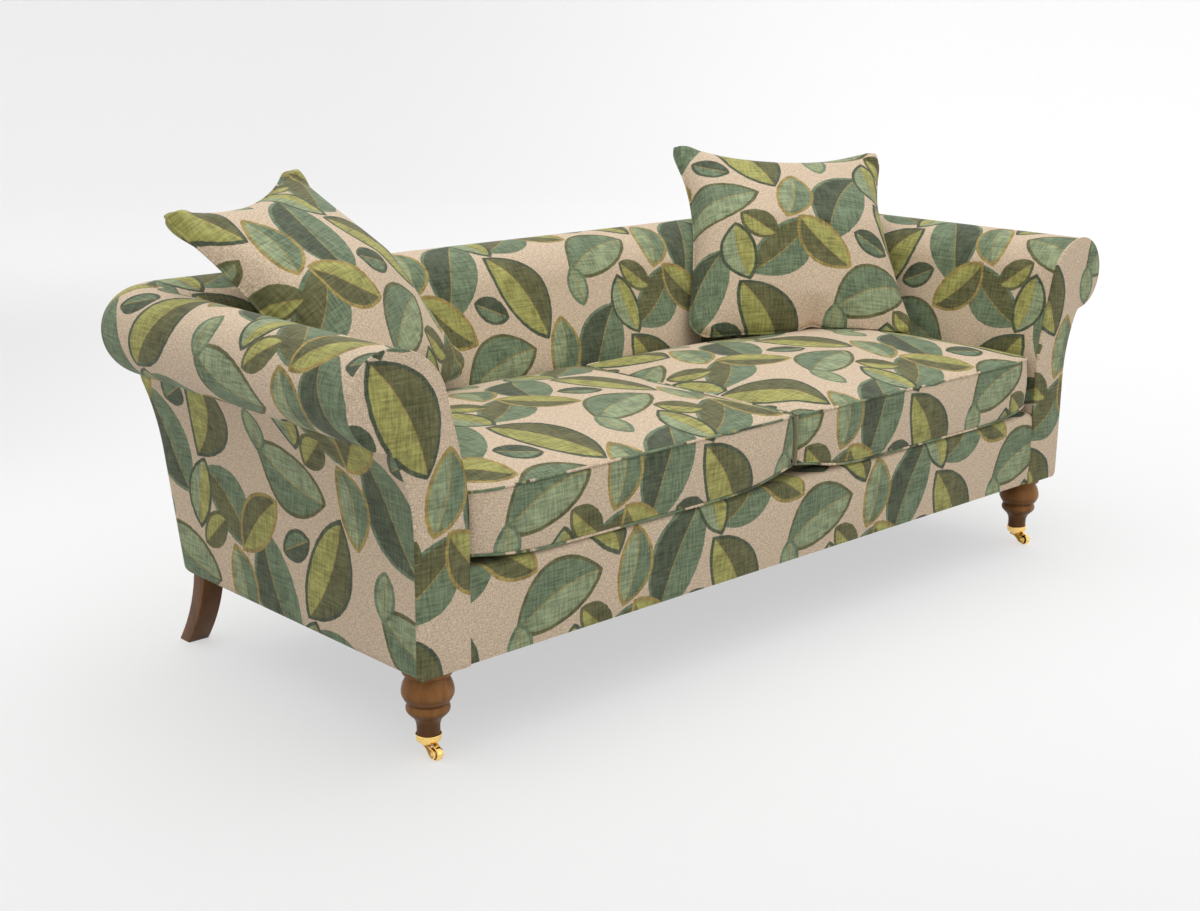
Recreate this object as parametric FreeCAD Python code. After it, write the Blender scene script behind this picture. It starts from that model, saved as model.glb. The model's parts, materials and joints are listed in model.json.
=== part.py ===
import FreeCAD, Part
import math
import os

# Overall sizes of the sofa in millimetres. X runs to the right seen from the front, Y to the back.
OVERALL_DEPTH = 920.0
ARM_HEIGHT = 737.0
BASE_HEIGHT = 169.0

# Scroll arms: distances from the middle of the sofa.
ARM_INNER = 850.0
ARM_OUTER = 960.0
ARM_ROLL_CENTRE = 1003.0
ROLL_RADIUS = 82.0
ARM_FOOT_RADIUS = 14.0
FOOT_TUCK_SHARE = 0.5
LEAN_START_HEIGHT = 480.0
LEAN_END_HEIGHT = 665.0
ARM_LEAN = 47.0
ARM_KNEE_HEIGHT = 416.0

# Back: distances along Y.
BACK_INNER_INSET = 273.0
BACK_KNEE_INSET = 90.0
BACK_KNEE_HEIGHT = 400.0
BACK_FOOT_INSET = 150.0

# Upholstery layers.
COVER = 2.0
PADDING = 25.0
FACING = 8.0
EDGE_PADDING = 13.0
BORDER_SETBACK = 5.0
BORDER_FOLD = 50.0

# Timber frame.
BOARD = 25.0
RAIL = 30.0
RAIL_OFFSET = 8.0
SEAT_RAIL_HEIGHT = 150.0
SIDE_RAIL_HEIGHT = 100.0
CENTRE_RAIL_HEIGHT = 60.0
TACK_RAIL_HEIGHT = 40.0
TOP_RAIL_HEIGHT = 50.0
TOP_RAIL_DROP = 47.0
TOP_RAIL_SHIFT = 24.0
BLOCK_SIDE = 90.0
BLOCK_HEIGHT = 50.0
SCREW_RADIUS = 2.5
SCREW_BITE = 20.0
SCREW_SPOT = 60.0
FIT_GAP = 0.1

# Seat suspension.
SPRING_COUNT = 10
SPRING_WIRE = 4.0
SPRING_WAVES = 20
SPRING_WIDTH = 46.0
CLIP_WIDTH = 20.0
CLIP_PLATE = 2.0
CLIP_REACH = 6.0
PLATFORM = 11.0
PLATFORM_MARGIN = 1.0
DUST_CLOTH = 1.0
DUST_INSET = 25.0
LEG_CLEARANCE = 6.0
WEB_WIDTH = 50.0
WEB_THICKNESS = 2.0
WEB_TAB = 30.0
BACK_WEB_COUNT = 8
ARM_WEB_COUNT = 4

# Loose seat cushions.
SEAT_FRONT_HEIGHT = 470.0
SEAT_CROWN = 34.0
SEAT_END_CROWN = 20.0
SEAT_SHOULDER = 120.0
SEAT_SHOULDER_SHARE = 0.8
SEAT_BULGE = 7.0
SEAT_CORNER = 45.0
SEAT_STATIONS = (0.0, 0.25, 0.5, 0.75, 1.0)
SEAT_SIDE_GAP = 0.6
SEAT_SETBACK = 1.0
REST_GAP = 0.3

# Loose scatter cushions, one leaning in each rear corner.
SCATTER_WIDTH = 540.0
SCATTER_TALL = 530.0
SCATTER_FRONT_SWELL = 85.0
SCATTER_BACK_SWELL = 38.0
SCATTER_EDGE = 4.0
SCATTER_TAPER = 0.7
SCATTER_STATIONS = (-1.0, -0.88, -0.55, 0.0, 0.55, 0.88, 1.0)
SCATTER_TOP_DRAW = 20.0
SCATTER_SIDE_DRAW = 30.0
SCATTER_TIP = 10.0
SCATTER_COVER = 1.5
PRESS_GAP = 0.5
OUTLINE_POINTS = 9
LEFT_SCATTER_FROM_ARM = 152.0
LEFT_SCATTER_FROM_BACK = 16.0
LEFT_SCATTER_TURN = 29.0
LEFT_SCATTER_LEAN = 42.3
LEFT_SCATTER_SPIN = 4.4
RIGHT_SCATTER_FROM_ARM = 185.0
RIGHT_SCATTER_FROM_BACK = 35.0
RIGHT_SCATTER_TURN = -31.4
RIGHT_SCATTER_LEAN = 41.5
RIGHT_SCATTER_SPIN = -3.3

# Turned front legs: their place, then the radii of the turning from the top down.
FRONT_LEG_X = 900.0
FRONT_LEG_SETBACK = 57.0
LEG_COLLAR_RADIUS = 44.0
LEG_TOP_NECK_RADIUS = 35.0
LEG_BUN_RADIUS = 46.5
LEG_WAIST_RADIUS = 37.0
LEG_RING_RADIUS = 39.0
LEG_NECK_RADIUS = 20.5
LEG_FOOT_RADIUS = 21.0
LEG_COLLAR_HEIGHT = 152.0
LEG_BUN_HEIGHT = 123.0
LEG_WAIST_HEIGHT = 97.0
LEG_RING_HEIGHT = 88.0
LEG_SHOULDER_HEIGHT = 70.0
LEG_NECK_HEIGHT = 53.0
BOLT_RADIUS = 4.9
BOLT_LENGTH = 60.0
INSERT_RADIUS = 7.0
INSERT_LENGTH = 25.0

# Swept rear legs.
REAR_LEG_X = 913.0
REAR_LEG_WIDTH = 46.0
REAR_LEG_TOP_FRONT_INSET = 193.0
REAR_LEG_TOP_BACK_INSET = 152.0
REAR_LEG_FOOT_FRONT_INSET = 117.0
REAR_LEG_FOOT_BACK_INSET = 81.0
REAR_LEG_SWEEP = 14.0

# Brass castors.
CUP_RIM_RADIUS = 23.0
CUP_BASE_RADIUS = 14.0
CUP_RIM_HEIGHT = 38.0
CUP_FLOOR_HEIGHT = 28.0
CUP_BASE_HEIGHT = 25.0
CUP_WALL = 2.0
WHEEL_RADIUS = 13.0
WHEEL_WIDTH = 11.0
CASTOR_TRAIL = 27.0
CASTOR_HEADING = 262.0
CHEEK = 3.5
CHEEK_RADIUS = 9.0
CHEEK_GAP = 0.6
HORN_BRIDGE = 5.0
HORN_BACK = 10.0
HORN_FRONT = 11.0
PINTLE_RADIUS = 4.0
PINTLE_HEAD_RADIUS = 6.0
PINTLE_HEAD = 2.0
AXLE_RADIUS = 2.5
RUNNING_GAP = 0.05

# Sizes that follow from the ones above.
FRONT_Y = -OVERALL_DEPTH / 2
REAR_Y = OVERALL_DEPTH / 2
BACK_INNER = REAR_Y - BACK_INNER_INSET
BACK_KNEE = REAR_Y - BACK_KNEE_INSET
BACK_FOOT = REAR_Y - BACK_FOOT_INSET
REAR_LEG_TOP_FRONT = REAR_Y - REAR_LEG_TOP_FRONT_INSET
REAR_LEG_TOP_BACK = REAR_Y - REAR_LEG_TOP_BACK_INSET
REAR_LEG_FOOT_FRONT = REAR_Y - REAR_LEG_FOOT_FRONT_INSET
REAR_LEG_FOOT_BACK = REAR_Y - REAR_LEG_FOOT_BACK_INSET
ROLL_HEIGHT = ARM_HEIGHT - ROLL_RADIUS
BACK_ROLL_CENTRE = REAR_Y - ROLL_RADIUS
CORNER_X = ARM_ROLL_CENTRE - ROLL_RADIUS
CORNER_Y = BACK_ROLL_CENTRE - ROLL_RADIUS
CORNER_RATIO = (CORNER_Y - BACK_INNER) / (CORNER_X - ARM_INNER)
BACK_LEAN = ARM_LEAN * CORNER_RATIO
NECK_HEIGHT = ROLL_HEIGHT - ROLL_RADIUS
SKIN = COVER + PADDING
FACING_Y = FRONT_Y + FACING
BOARD_Y = FACING_Y + BOARD
RAIL_X = ARM_INNER + SKIN + RAIL_OFFSET
POST_FRONT_Y = BACK_INNER + SKIN
BORDER_Y = FRONT_Y + BORDER_SETBACK
FRONT_RAIL_Y = BORDER_Y + COVER + EDGE_PADDING
FRONT_RAIL_BACK_Y = FRONT_RAIL_Y + RAIL
BACK_RAIL_Y = POST_FRONT_Y + RAIL / 2
SEAT_RAIL_TOP = BASE_HEIGHT + SEAT_RAIL_HEIGHT
SPRING_LEVEL = SEAT_RAIL_TOP + SPRING_WIRE / 2
PLATFORM_BOTTOM = SEAT_RAIL_TOP + SPRING_WIRE + CLIP_PLATE
PLATFORM_TOP = PLATFORM_BOTTOM + PLATFORM
DECK_TOP = PLATFORM_TOP + COVER
TACK_RAIL_BOTTOM = DECK_TOP + REST_GAP + COVER
TACK_RAIL_TOP = TACK_RAIL_BOTTOM + TACK_RAIL_HEIGHT
TOP_RAIL_TOP = ARM_HEIGHT - TOP_RAIL_DROP
TOP_RAIL_BOTTOM = TOP_RAIL_TOP - TOP_RAIL_HEIGHT
ARM_TOP_RAIL_X = ARM_ROLL_CENTRE - TOP_RAIL_SHIFT
BACK_TOP_RAIL_Y = BACK_ROLL_CENTRE - TOP_RAIL_SHIFT
FRONT_LEG_Y = FRONT_Y + FRONT_LEG_SETBACK
REAR_LEG_Y = (REAR_LEG_TOP_FRONT + REAR_LEG_TOP_BACK) / 2 - SKIN / 2
FAR = 4 * OVERALL_DEPTH
LEFT = -1
RIGHT = 1
SIDES = {"left": LEFT, "right": RIGHT}


def vec(x, y, z):
    """A point in the sofa's frame."""
    return FreeCAD.Vector(x, y, z)


def block(x0, x1, y0, y1, z0, z1):
    """A box between two corners."""
    return Part.makeBox(x1 - x0, y1 - y0, z1 - z0, vec(x0, y0, z0))


def rod(radius, start, end):
    """A round bar between two points."""
    run = end - start
    return Part.makeCylinder(radius, run.Length, start, run)


def prism(points, run):
    """A solid swept from a flat polygon along a straight run."""
    face = Part.Face(Part.makePolygon(points + [points[0]]))
    return face.extrude(run)


def line(a, b):
    """A straight edge."""
    return Part.LineSegment(a, b).toShape()


def bulge(a, b, toward):
    """An arc from a to b whose middle stands off the straight line by the given vector."""
    return Part.Arc(a, (a + b) * 0.5 + toward, b).toShape()


def tangent_arc(a, direction, b):
    """An arc that leaves a along a direction and ends at b."""
    chord = b - a
    along = FreeCAD.Vector(direction).normalize()
    across = chord - along * chord.dot(along)
    across.normalize()
    radius = chord.Length ** 2 / (2 * chord.dot(across))
    centre = a + across * radius
    half_way = (a - centre) + (b - centre)
    half_way.normalize()
    return Part.Arc(a, centre + half_way * radius, b).toShape()


def mirrored(shape):
    """The same shape on the left side of the sofa."""
    return shape.mirror(vec(0, 0, 0), vec(1, 0, 0))


def placed(shape, placement):
    """A copy of a shape, put in its place."""
    copy = shape.copy()
    copy.Placement = placement
    return copy


def on_side(shape, side):
    """A shape drawn for the right side, put on either side."""
    return shape if side == RIGHT else mirrored(shape)


def scroll_section(to_point, inner, lean, roll_centre, knee, knee_height, foot, foot_radius, inset):
    """The closed section of an arm or of the back, drawn in from the cover by the inset."""
    base = BASE_HEIGHT - inset
    inner_foot = to_point(inner, base)
    lean_start = to_point(inner, LEAN_START_HEIGHT)
    lean_end = to_point(inner + lean, LEAN_END_HEIGHT)
    top = to_point(roll_centre, ARM_HEIGHT)
    outermost = to_point(roll_centre + ROLL_RADIUS, ROLL_HEIGHT)
    neck = to_point(roll_centre, NECK_HEIGHT)
    knee_point = to_point(knee, knee_height)
    slope = (knee - foot) / (knee_height - BASE_HEIGHT)
    low_corner = to_point(foot - slope * inset + slope * foot_radius, base + foot_radius)
    base_corner = to_point(foot - slope * inset - foot_radius * FOOT_TUCK_SHARE, base)
    out = to_point(1, 0) - to_point(0, 0)
    up = to_point(0, 1) - to_point(0, 0)
    edges = [
        line(inner_foot, lean_start),
        line(lean_start, lean_end),
        tangent_arc(top, -out, lean_end),
        tangent_arc(top, out, outermost),
        tangent_arc(outermost, -up, neck),
        tangent_arc(knee_point, knee_point - low_corner, neck),
        line(knee_point, low_corner),
        tangent_arc(low_corner, low_corner - knee_point, base_corner),
        line(base_corner, inner_foot),
    ]
    wire = Part.Wire(Part.__sortEdges__(edges))
    if inset:
        wire = wire.makeOffset2D(-inset)
    return Part.Face(wire)


def arm_section(inset):
    """The right arm's section, in the plane y = 0."""
    return scroll_section(lambda run, height: vec(run, 0, height), ARM_INNER, ARM_LEAN,
                          ARM_ROLL_CENTRE, ARM_OUTER, ARM_KNEE_HEIGHT, ARM_OUTER,
                          ARM_FOOT_RADIUS, inset)


def back_section(inset):
    """The back's section, in the plane x = 0."""
    return scroll_section(lambda run, height: vec(0, run, height), BACK_INNER, BACK_LEAN,
                          BACK_ROLL_CENTRE, BACK_KNEE, BACK_KNEE_HEIGHT, BACK_FOOT,
                          ARM_FOOT_RADIUS / 3, inset)


def slide_face(face, start, run):
    """A section moved to its start and swept along a run."""
    return face.translated(start).extrude(run)


def carcass(inset):
    """The upholstered arms and back as one body, drawn in from the cover by the inset."""
    back = back_section(inset)
    whole = slide_face(back, vec(-CORNER_X, 0, 0), vec(2 * CORNER_X, 0, 0))
    sides = []
    for side in SIDES.values():
        arm = on_side(arm_section(inset), side)
        straight_arm = slide_face(arm, vec(0, FACING_Y, 0), vec(0, CORNER_Y - FACING_Y, 0))
        arm_end = slide_face(arm, vec(0, CORNER_Y, 0), vec(0, REAR_Y - CORNER_Y, 0))
        back_end = slide_face(back, vec(side * CORNER_X, 0, 0), vec(side * FAR, 0, 0))
        below_neck = on_side(block(CORNER_X, FAR, CORNER_Y, FAR, 0, NECK_HEIGHT), side)
        low_corner = arm_end.common(back_end).common(below_neck)
        roll_part = arm.common(on_side(block(CORNER_X, FAR, -1, 1, NECK_HEIGHT, FAR), side))
        turned_roll = roll_part.translated(vec(0, CORNER_Y, 0))
        turned_roll = turned_roll.revolve(vec(side * CORNER_X, CORNER_Y, 0), vec(0, 0, 1), side * 90)
        sides += [straight_arm, low_corner, turned_roll]
    return whole.fuse(sides).removeSplitter()


def arm_zone():
    """The space to the right of the mitre seam between the arm and the back."""
    far_step = FAR - CORNER_X
    inner_step = ARM_INNER / 2
    plan = [
        vec(ARM_INNER - inner_step, -FAR, 0),
        vec(FAR, -FAR, 0),
        vec(FAR, CORNER_Y + far_step, 0),
        vec(CORNER_X, CORNER_Y, 0),
        vec(ARM_INNER, BACK_INNER, 0),
        vec(ARM_INNER - inner_step, BACK_INNER - inner_step * CORNER_RATIO, 0),
    ]
    return prism(plan, vec(0, 0, FAR))


def seat_well():
    """The space under the seat, where the arms and back have no padding."""
    reach = ARM_INNER + SKIN
    return block(-reach, reach, FACING_Y, POST_FRONT_Y, 0, DECK_TOP)


def layer(outer, inner):
    """One upholstery layer of the arms and back, with the seat's well left open."""
    return outer.cut(inner).cut(seat_well())


def largest(shape):
    """The main solid of a cut."""
    return max(shape.Solids, key=lambda solid: solid.Volume)


def upholstery(parts):
    """Covers and padding of the arms and back."""
    skin = carcass(0)
    under_skin = carcass(COVER)
    hollow = carcass(SKIN)
    zones = {name: on_side(arm_zone(), side) for name, side in SIDES.items()}
    cover = layer(skin, under_skin)
    padding = layer(under_skin, hollow)
    ridge = block(-FAR, FAR, -FAR, BACK_ROLL_CENTRE, 0, FAR)
    for name, zone in zones.items():
        parts[name + "_arm_cover"] = largest(cover.common(zone))
        parts[name + "_arm_padding"] = largest(padding.common(zone))
        front = on_side(arm_section(0), SIDES[name])
        parts[name + "_arm_facing"] = slide_face(front, vec(0, FRONT_Y, 0), vec(0, FACING, 0))
    back_cover = cover.cut(list(zones.values()))
    parts["back_padding"] = largest(padding.cut(list(zones.values())))
    inside = back_cover.common(ridge)
    parts["inside_back_cover"] = max(inside.Solids, key=lambda solid: -solid.BoundBox.YMin)
    outside_solids = [s for s in inside.Solids if not s.isSame(parts["inside_back_cover"])]
    outside = back_cover.cut(ridge)
    parts["outside_back_cover"] = largest(outside.fuse(outside_solids).removeSplitter())


def front_border(parts):
    """The padded border under the seat cushions and its cover."""
    front = block(-ARM_INNER, ARM_INNER, BORDER_Y, BORDER_Y + COVER, BASE_HEIGHT, DECK_TOP)
    fold = block(-ARM_INNER, ARM_INNER, BORDER_Y, BORDER_Y + BORDER_FOLD, PLATFORM_TOP, DECK_TOP)
    parts["front_border_cover"] = front.fuse(fold).removeSplitter()
    parts["front_edge_padding"] = block(-ARM_INNER, ARM_INNER, BORDER_Y + COVER, FRONT_RAIL_Y,
                                        BASE_HEIGHT, PLATFORM_TOP)


def corner_block(front):
    """A triangular block in a right-hand corner of the seat frame, and its two screws."""
    edge = FRONT_RAIL_BACK_Y if front else BACK_RAIL_Y
    step = 1 if front else -1
    plan = [
        vec(RAIL_X, edge, BASE_HEIGHT),
        vec(RAIL_X - BLOCK_SIDE, edge, BASE_HEIGHT),
        vec(RAIL_X, edge + step * BLOCK_SIDE, BASE_HEIGHT),
    ]
    solid = prism(plan, vec(0, 0, BLOCK_HEIGHT))
    level = BASE_HEIGHT + BLOCK_HEIGHT / 2
    depth = BLOCK_SIDE - SCREW_SPOT
    side_y = edge + step * SCREW_SPOT
    rail_x = RAIL_X - SCREW_SPOT
    screws = [
        (vec(RAIL_X - depth, side_y, level), vec(RAIL_X + SCREW_BITE, side_y, level)),
        (vec(rail_x, edge + step * depth, level), vec(rail_x, edge - step * SCREW_BITE, level)),
    ]
    return solid, screws


def frame_timbers():
    """Every board and rail of the timber frame, before its screw and bolt holes."""
    hollow_arm = arm_section(SKIN)
    hollow_back = back_section(SKIN)
    rails = {}
    rails["front_rail"] = block(-ARM_INNER - SKIN, ARM_INNER + SKIN, FRONT_RAIL_Y, FRONT_RAIL_BACK_Y,
                                BASE_HEIGHT, SEAT_RAIL_TOP)
    rails["back_rail"] = block(-RAIL_X, RAIL_X, BACK_RAIL_Y, BACK_RAIL_Y + RAIL,
                               BASE_HEIGHT, SEAT_RAIL_TOP)
    rails["centre_rail"] = block(-RAIL / 2, RAIL / 2, FRONT_RAIL_BACK_Y, BACK_RAIL_Y,
                                 BASE_HEIGHT, BASE_HEIGHT + CENTRE_RAIL_HEIGHT)
    rails["back_tack_rail"] = block(-RAIL_X, RAIL_X, POST_FRONT_Y + WEB_THICKNESS,
                                    POST_FRONT_Y + WEB_THICKNESS + RAIL,
                                    TACK_RAIL_BOTTOM, TACK_RAIL_TOP)
    top_reach = ARM_TOP_RAIL_X + RAIL
    rails["back_top_rail"] = block(-top_reach, top_reach, BACK_TOP_RAIL_Y, BACK_TOP_RAIL_Y + RAIL,
                                   TOP_RAIL_BOTTOM, TOP_RAIL_TOP)
    front_board = slide_face(hollow_arm, vec(0, FACING_Y, 0), vec(0, BOARD, 0))
    post = slide_face(hollow_back, vec(RAIL_X, 0, 0), vec(RAIL, 0, 0)).cut(rails["back_top_rail"])
    side_rail = block(RAIL_X, RAIL_X + RAIL, BOARD_Y, POST_FRONT_Y,
                      BASE_HEIGHT, BASE_HEIGHT + SIDE_RAIL_HEIGHT)
    tack_rail = block(RAIL_X, RAIL_X + RAIL, BOARD_Y, POST_FRONT_Y, TACK_RAIL_BOTTOM, TACK_RAIL_TOP)
    arm_top = block(ARM_TOP_RAIL_X, ARM_TOP_RAIL_X + RAIL, BOARD_Y, BACK_TOP_RAIL_Y,
                    TOP_RAIL_BOTTOM, TOP_RAIL_TOP)
    for name, side in SIDES.items():
        rails[name + "_arm_front_board"] = on_side(front_board, side)
        rails[name + "_rear_post"] = on_side(largest(post), side)
        rails[name + "_side_rail"] = on_side(side_rail, side)
        rails[name + "_arm_tack_rail"] = on_side(tack_rail, side)
        rails[name + "_arm_top_rail"] = on_side(arm_top, side)
    centre_post = slide_face(hollow_back, vec(-RAIL / 2, 0, 0), vec(RAIL, 0, 0))
    below_seat = block(-FAR, FAR, -FAR, FAR, 0, SEAT_RAIL_TOP)
    across = [below_seat, rails["back_tack_rail"], rails["back_top_rail"]]
    rails["back_centre_post"] = largest(centre_post.cut(across))
    return rails


def leg_bolt_places():
    """Where each leg's bolt stands: the front legs', then the rear legs'."""
    rear_x = RAIL_X + RAIL / 2
    return [(side * x, y) for x, y in ((FRONT_LEG_X, FRONT_LEG_Y), (rear_x, REAR_LEG_Y))
            for side in SIDES.values()]


def timber_frame(parts):
    """The frame with its corner blocks, screws, threaded inserts and leg bolts."""
    rails = frame_timbers()
    blocks = []
    screws = []
    screw_holes = []
    for front in (True, False):
        solid, runs = corner_block(front)
        holes = [rod(SCREW_RADIUS + FIT_GAP, start, end) for start, end in runs]
        pins = [rod(SCREW_RADIUS, start, end) for start, end in runs]
        for side in SIDES.values():
            blocks.append(on_side(solid.cut(holes), side))
            screws += [on_side(pin, side) for pin in pins]
            screw_holes += [on_side(hole, side) for hole in holes]
    inserts = []
    bolts = []
    sockets = []
    for x, y in leg_bolt_places():
        foot = vec(x, y, BASE_HEIGHT)
        top = vec(x, y, BASE_HEIGHT + INSERT_LENGTH)
        shell = rod(INSERT_RADIUS, foot, top)
        inserts.append(shell.cut(rod(BOLT_RADIUS + FIT_GAP, foot, top)))
        bolts.append(rod(BOLT_RADIUS, top - vec(0, 0, BOLT_LENGTH), top))
        sockets.append(rod(INSERT_RADIUS + FIT_GAP, foot, top))
    bored = ["front_rail", "back_rail"]
    bored += [name + part for name in SIDES for part in ("_side_rail", "_rear_post")]
    for name in bored:
        rails[name] = largest(rails[name].cut(screw_holes + sockets))
    parts.update(rails)
    parts["corner_blocks"] = Part.makeCompound(blocks)
    parts["frame_screws"] = Part.makeCompound(screws)
    parts["leg_inserts"] = Part.makeCompound(inserts)
    parts["leg_bolts"] = Part.makeCompound(bolts)


def spring_wire():
    """One serpentine spring from the front rail to the back rail, at the middle of the seat."""
    start = FRONT_RAIL_Y + RAIL / 2
    end = BACK_RAIL_Y + RAIL / 2
    pitch = (end - start) / SPRING_WAVES
    half = max(SPRING_WIDTH - pitch, SPRING_WIRE) / 2
    runs = []
    for wave in range(SPRING_WAVES + 1):
        side = 1 if wave % 2 == 0 else -1
        near = vec(-side * half, start + wave * pitch, SPRING_LEVEL)
        far = vec(side * half, start + wave * pitch, SPRING_LEVEL)
        runs.append(rod(SPRING_WIRE / 2, near, far))
        if wave < SPRING_WAVES:
            section = Part.Face(Part.Wire(Part.Circle(far, vec(1, 0, 0), SPRING_WIRE / 2).toShape()))
            runs.append(section.revolve(far + vec(0, pitch / 2, 0), vec(0, 0, 1), side * 180))
    return runs[0].fuse(runs[1:]).removeSplitter()


def spring_clip(x, y, outward):
    """A steel clip that holds a spring's end down on a rail."""
    top = SEAT_RAIL_TOP + SPRING_WIRE
    edge = y + outward * CLIP_REACH
    plate_y = sorted((y - outward * CLIP_REACH, edge + outward * CLIP_PLATE))
    leg_y = sorted((edge, edge + outward * CLIP_PLATE))
    plate = block(x - CLIP_WIDTH / 2, x + CLIP_WIDTH / 2, *plate_y, top, top + CLIP_PLATE)
    leg = block(x - CLIP_WIDTH / 2, x + CLIP_WIDTH / 2, *leg_y, SEAT_RAIL_TOP, top)
    return plate.fuse(leg).removeSplitter()


def suspension(parts):
    """Seat springs with their clips, the seat platform, the webbing and the cloth underneath."""
    spacing = 2 * ARM_INNER / SPRING_COUNT
    spring = spring_wire()
    springs = []
    clips = []
    for index in range(SPRING_COUNT):
        x = -ARM_INNER + (index + 0.5) * spacing
        springs.append(spring.translated(vec(x, 0, 0)))
        clips.append(spring_clip(x, FRONT_RAIL_Y + RAIL / 2, -1))
        clips.append(spring_clip(x, BACK_RAIL_Y + RAIL / 2, 1))
    parts["seat_springs"] = Part.makeCompound(springs)
    parts["spring_clips"] = Part.makeCompound(clips)
    reach = ARM_INNER + SKIN - PLATFORM_MARGIN
    parts["seat_platform"] = block(-reach, reach, FRONT_RAIL_Y, BACK_RAIL_Y + RAIL,
                                   PLATFORM_BOTTOM, PLATFORM_TOP).cut(platform_notches())
    edge = ARM_OUTER - DUST_INSET
    cloth = block(-edge, edge, FRONT_Y + DUST_INSET, BACK_FOOT - DUST_INSET, BASE_HEIGHT - DUST_CLOTH, BASE_HEIGHT)
    parts["dust_cover"] = largest(cloth.cut(leg_openings()))


def platform_notches():
    """Room in the seat platform for the rear posts of the frame."""
    posts = block(RAIL_X, FAR, POST_FRONT_Y, FAR, 0, FAR)
    centre = block(-RAIL / 2 - FIT_GAP, RAIL / 2 + FIT_GAP, POST_FRONT_Y - FIT_GAP, FAR, 0, FAR)
    return [posts, mirrored(posts), centre]


def leg_openings():
    """Holes in the cloth underneath, round the tops of the legs."""
    holes = []
    for side in SIDES.values():
        foot = vec(side * FRONT_LEG_X, FRONT_LEG_Y, 0)
        holes.append(rod(LEG_COLLAR_RADIUS + LEG_CLEARANCE, foot, foot + vec(0, 0, ARM_HEIGHT)))
        inner = REAR_LEG_X - REAR_LEG_WIDTH / 2 - LEG_CLEARANCE
        rear = block(inner, FAR, REAR_LEG_TOP_FRONT - LEG_CLEARANCE, FAR, 0, ARM_HEIGHT)
        holes.append(on_side(rear, side))
    return holes


def webbing_strip(to_point, low_face, high_face, run):
    """A strip tacked on the face of a tack rail and on the face of a top rail."""
    thin = WEB_THICKNESS
    outline = [
        to_point(low_face - thin, TACK_RAIL_TOP - WEB_TAB),
        to_point(low_face, TACK_RAIL_TOP - WEB_TAB),
        to_point(low_face, TACK_RAIL_TOP),
        to_point(high_face, TOP_RAIL_BOTTOM),
        to_point(high_face, TOP_RAIL_BOTTOM + WEB_TAB),
        to_point(high_face - thin, TOP_RAIL_BOTTOM + WEB_TAB),
        to_point(high_face - thin, TOP_RAIL_BOTTOM),
        to_point(low_face - thin, TACK_RAIL_TOP),
    ]
    return prism(outline, run)


def webbing(parts):
    """Webbing strips behind the padding of the back and of the arms."""
    back_strips = []
    back_span = 2 * (RAIL_X - RAIL) / BACK_WEB_COUNT
    for index in range(BACK_WEB_COUNT):
        x = -RAIL_X + RAIL + (index + 0.5) * back_span - WEB_WIDTH / 2
        back_strips.append(webbing_strip(lambda run, height: vec(x, run, height),
                                         POST_FRONT_Y + WEB_THICKNESS, BACK_TOP_RAIL_Y,
                                         vec(WEB_WIDTH, 0, 0)))
    arm_strips = []
    arm_span = (POST_FRONT_Y - BOARD_Y) / ARM_WEB_COUNT
    for index in range(ARM_WEB_COUNT):
        y = BOARD_Y + (index + 0.5) * arm_span - WEB_WIDTH / 2
        strip = webbing_strip(lambda run, height: vec(run, y, height), RAIL_X, ARM_TOP_RAIL_X,
                              vec(0, WEB_WIDTH, 0))
        arm_strips += [strip, mirrored(strip)]
    parts["back_webbing"] = Part.makeCompound(back_strips)
    parts["arm_webbing"] = Part.makeCompound(arm_strips)


def rounded_plan(x0, x1, y0, y1, radius):
    """An upright solid with a rectangular plan and rounded corners."""
    body = block(x0, x1, y0, y1, 0, FAR)
    upright = [edge for edge in body.Edges if abs(edge.tangentAt(edge.FirstParameter).z) > 0.5]
    return body.makeFillet(radius, upright)


def seat_cushion(inset):
    """The right seat cushion: a boxed form with a crown, swelling sides and rounded corners."""
    start = SEAT_SIDE_GAP + inset
    end = ARM_INNER - SEAT_SIDE_GAP - inset
    front = FRONT_Y + SEAT_SETBACK + inset
    back = BACK_INNER - SEAT_SIDE_GAP - inset
    bottom = DECK_TOP + REST_GAP + inset
    seam = SEAT_FRONT_HEIGHT - inset
    sections = []
    for share in SEAT_STATIONS:
        x = start + share * (end - start)
        rise = SEAT_END_CROWN + (SEAT_CROWN - SEAT_END_CROWN) * math.sin(math.pi * share)
        low_front = vec(x, front + SEAT_BULGE, bottom)
        front_seam = vec(x, front + SEAT_BULGE, seam)
        front_top = vec(x, front + SEAT_SHOULDER, seam + rise * SEAT_SHOULDER_SHARE)
        back_top = vec(x, back - SEAT_SHOULDER, seam + rise * SEAT_SHOULDER_SHARE)
        back_seam = vec(x, back - SEAT_BULGE, seam)
        low_back = vec(x, back - SEAT_BULGE, bottom)
        top_bulge = vec(0, 0, rise * (1 - SEAT_SHOULDER_SHARE))
        edges = [
            bulge(low_front, front_seam, vec(0, -SEAT_BULGE, 0)),
            tangent_arc(front_top, vec(0, -1, 0), front_seam),
            bulge(front_top, back_top, top_bulge),
            tangent_arc(back_top, vec(0, 1, 0), back_seam),
            bulge(back_seam, low_back, vec(0, SEAT_BULGE, 0)),
            line(low_back, low_front),
        ]
        sections.append(Part.Wire(Part.__sortEdges__(edges)))
    crowned = Part.makeLoft(sections, True, False)
    plan = rounded_plan(start, end, front, back, SEAT_CORNER - inset)
    return largest(crowned.common(plan))


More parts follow.
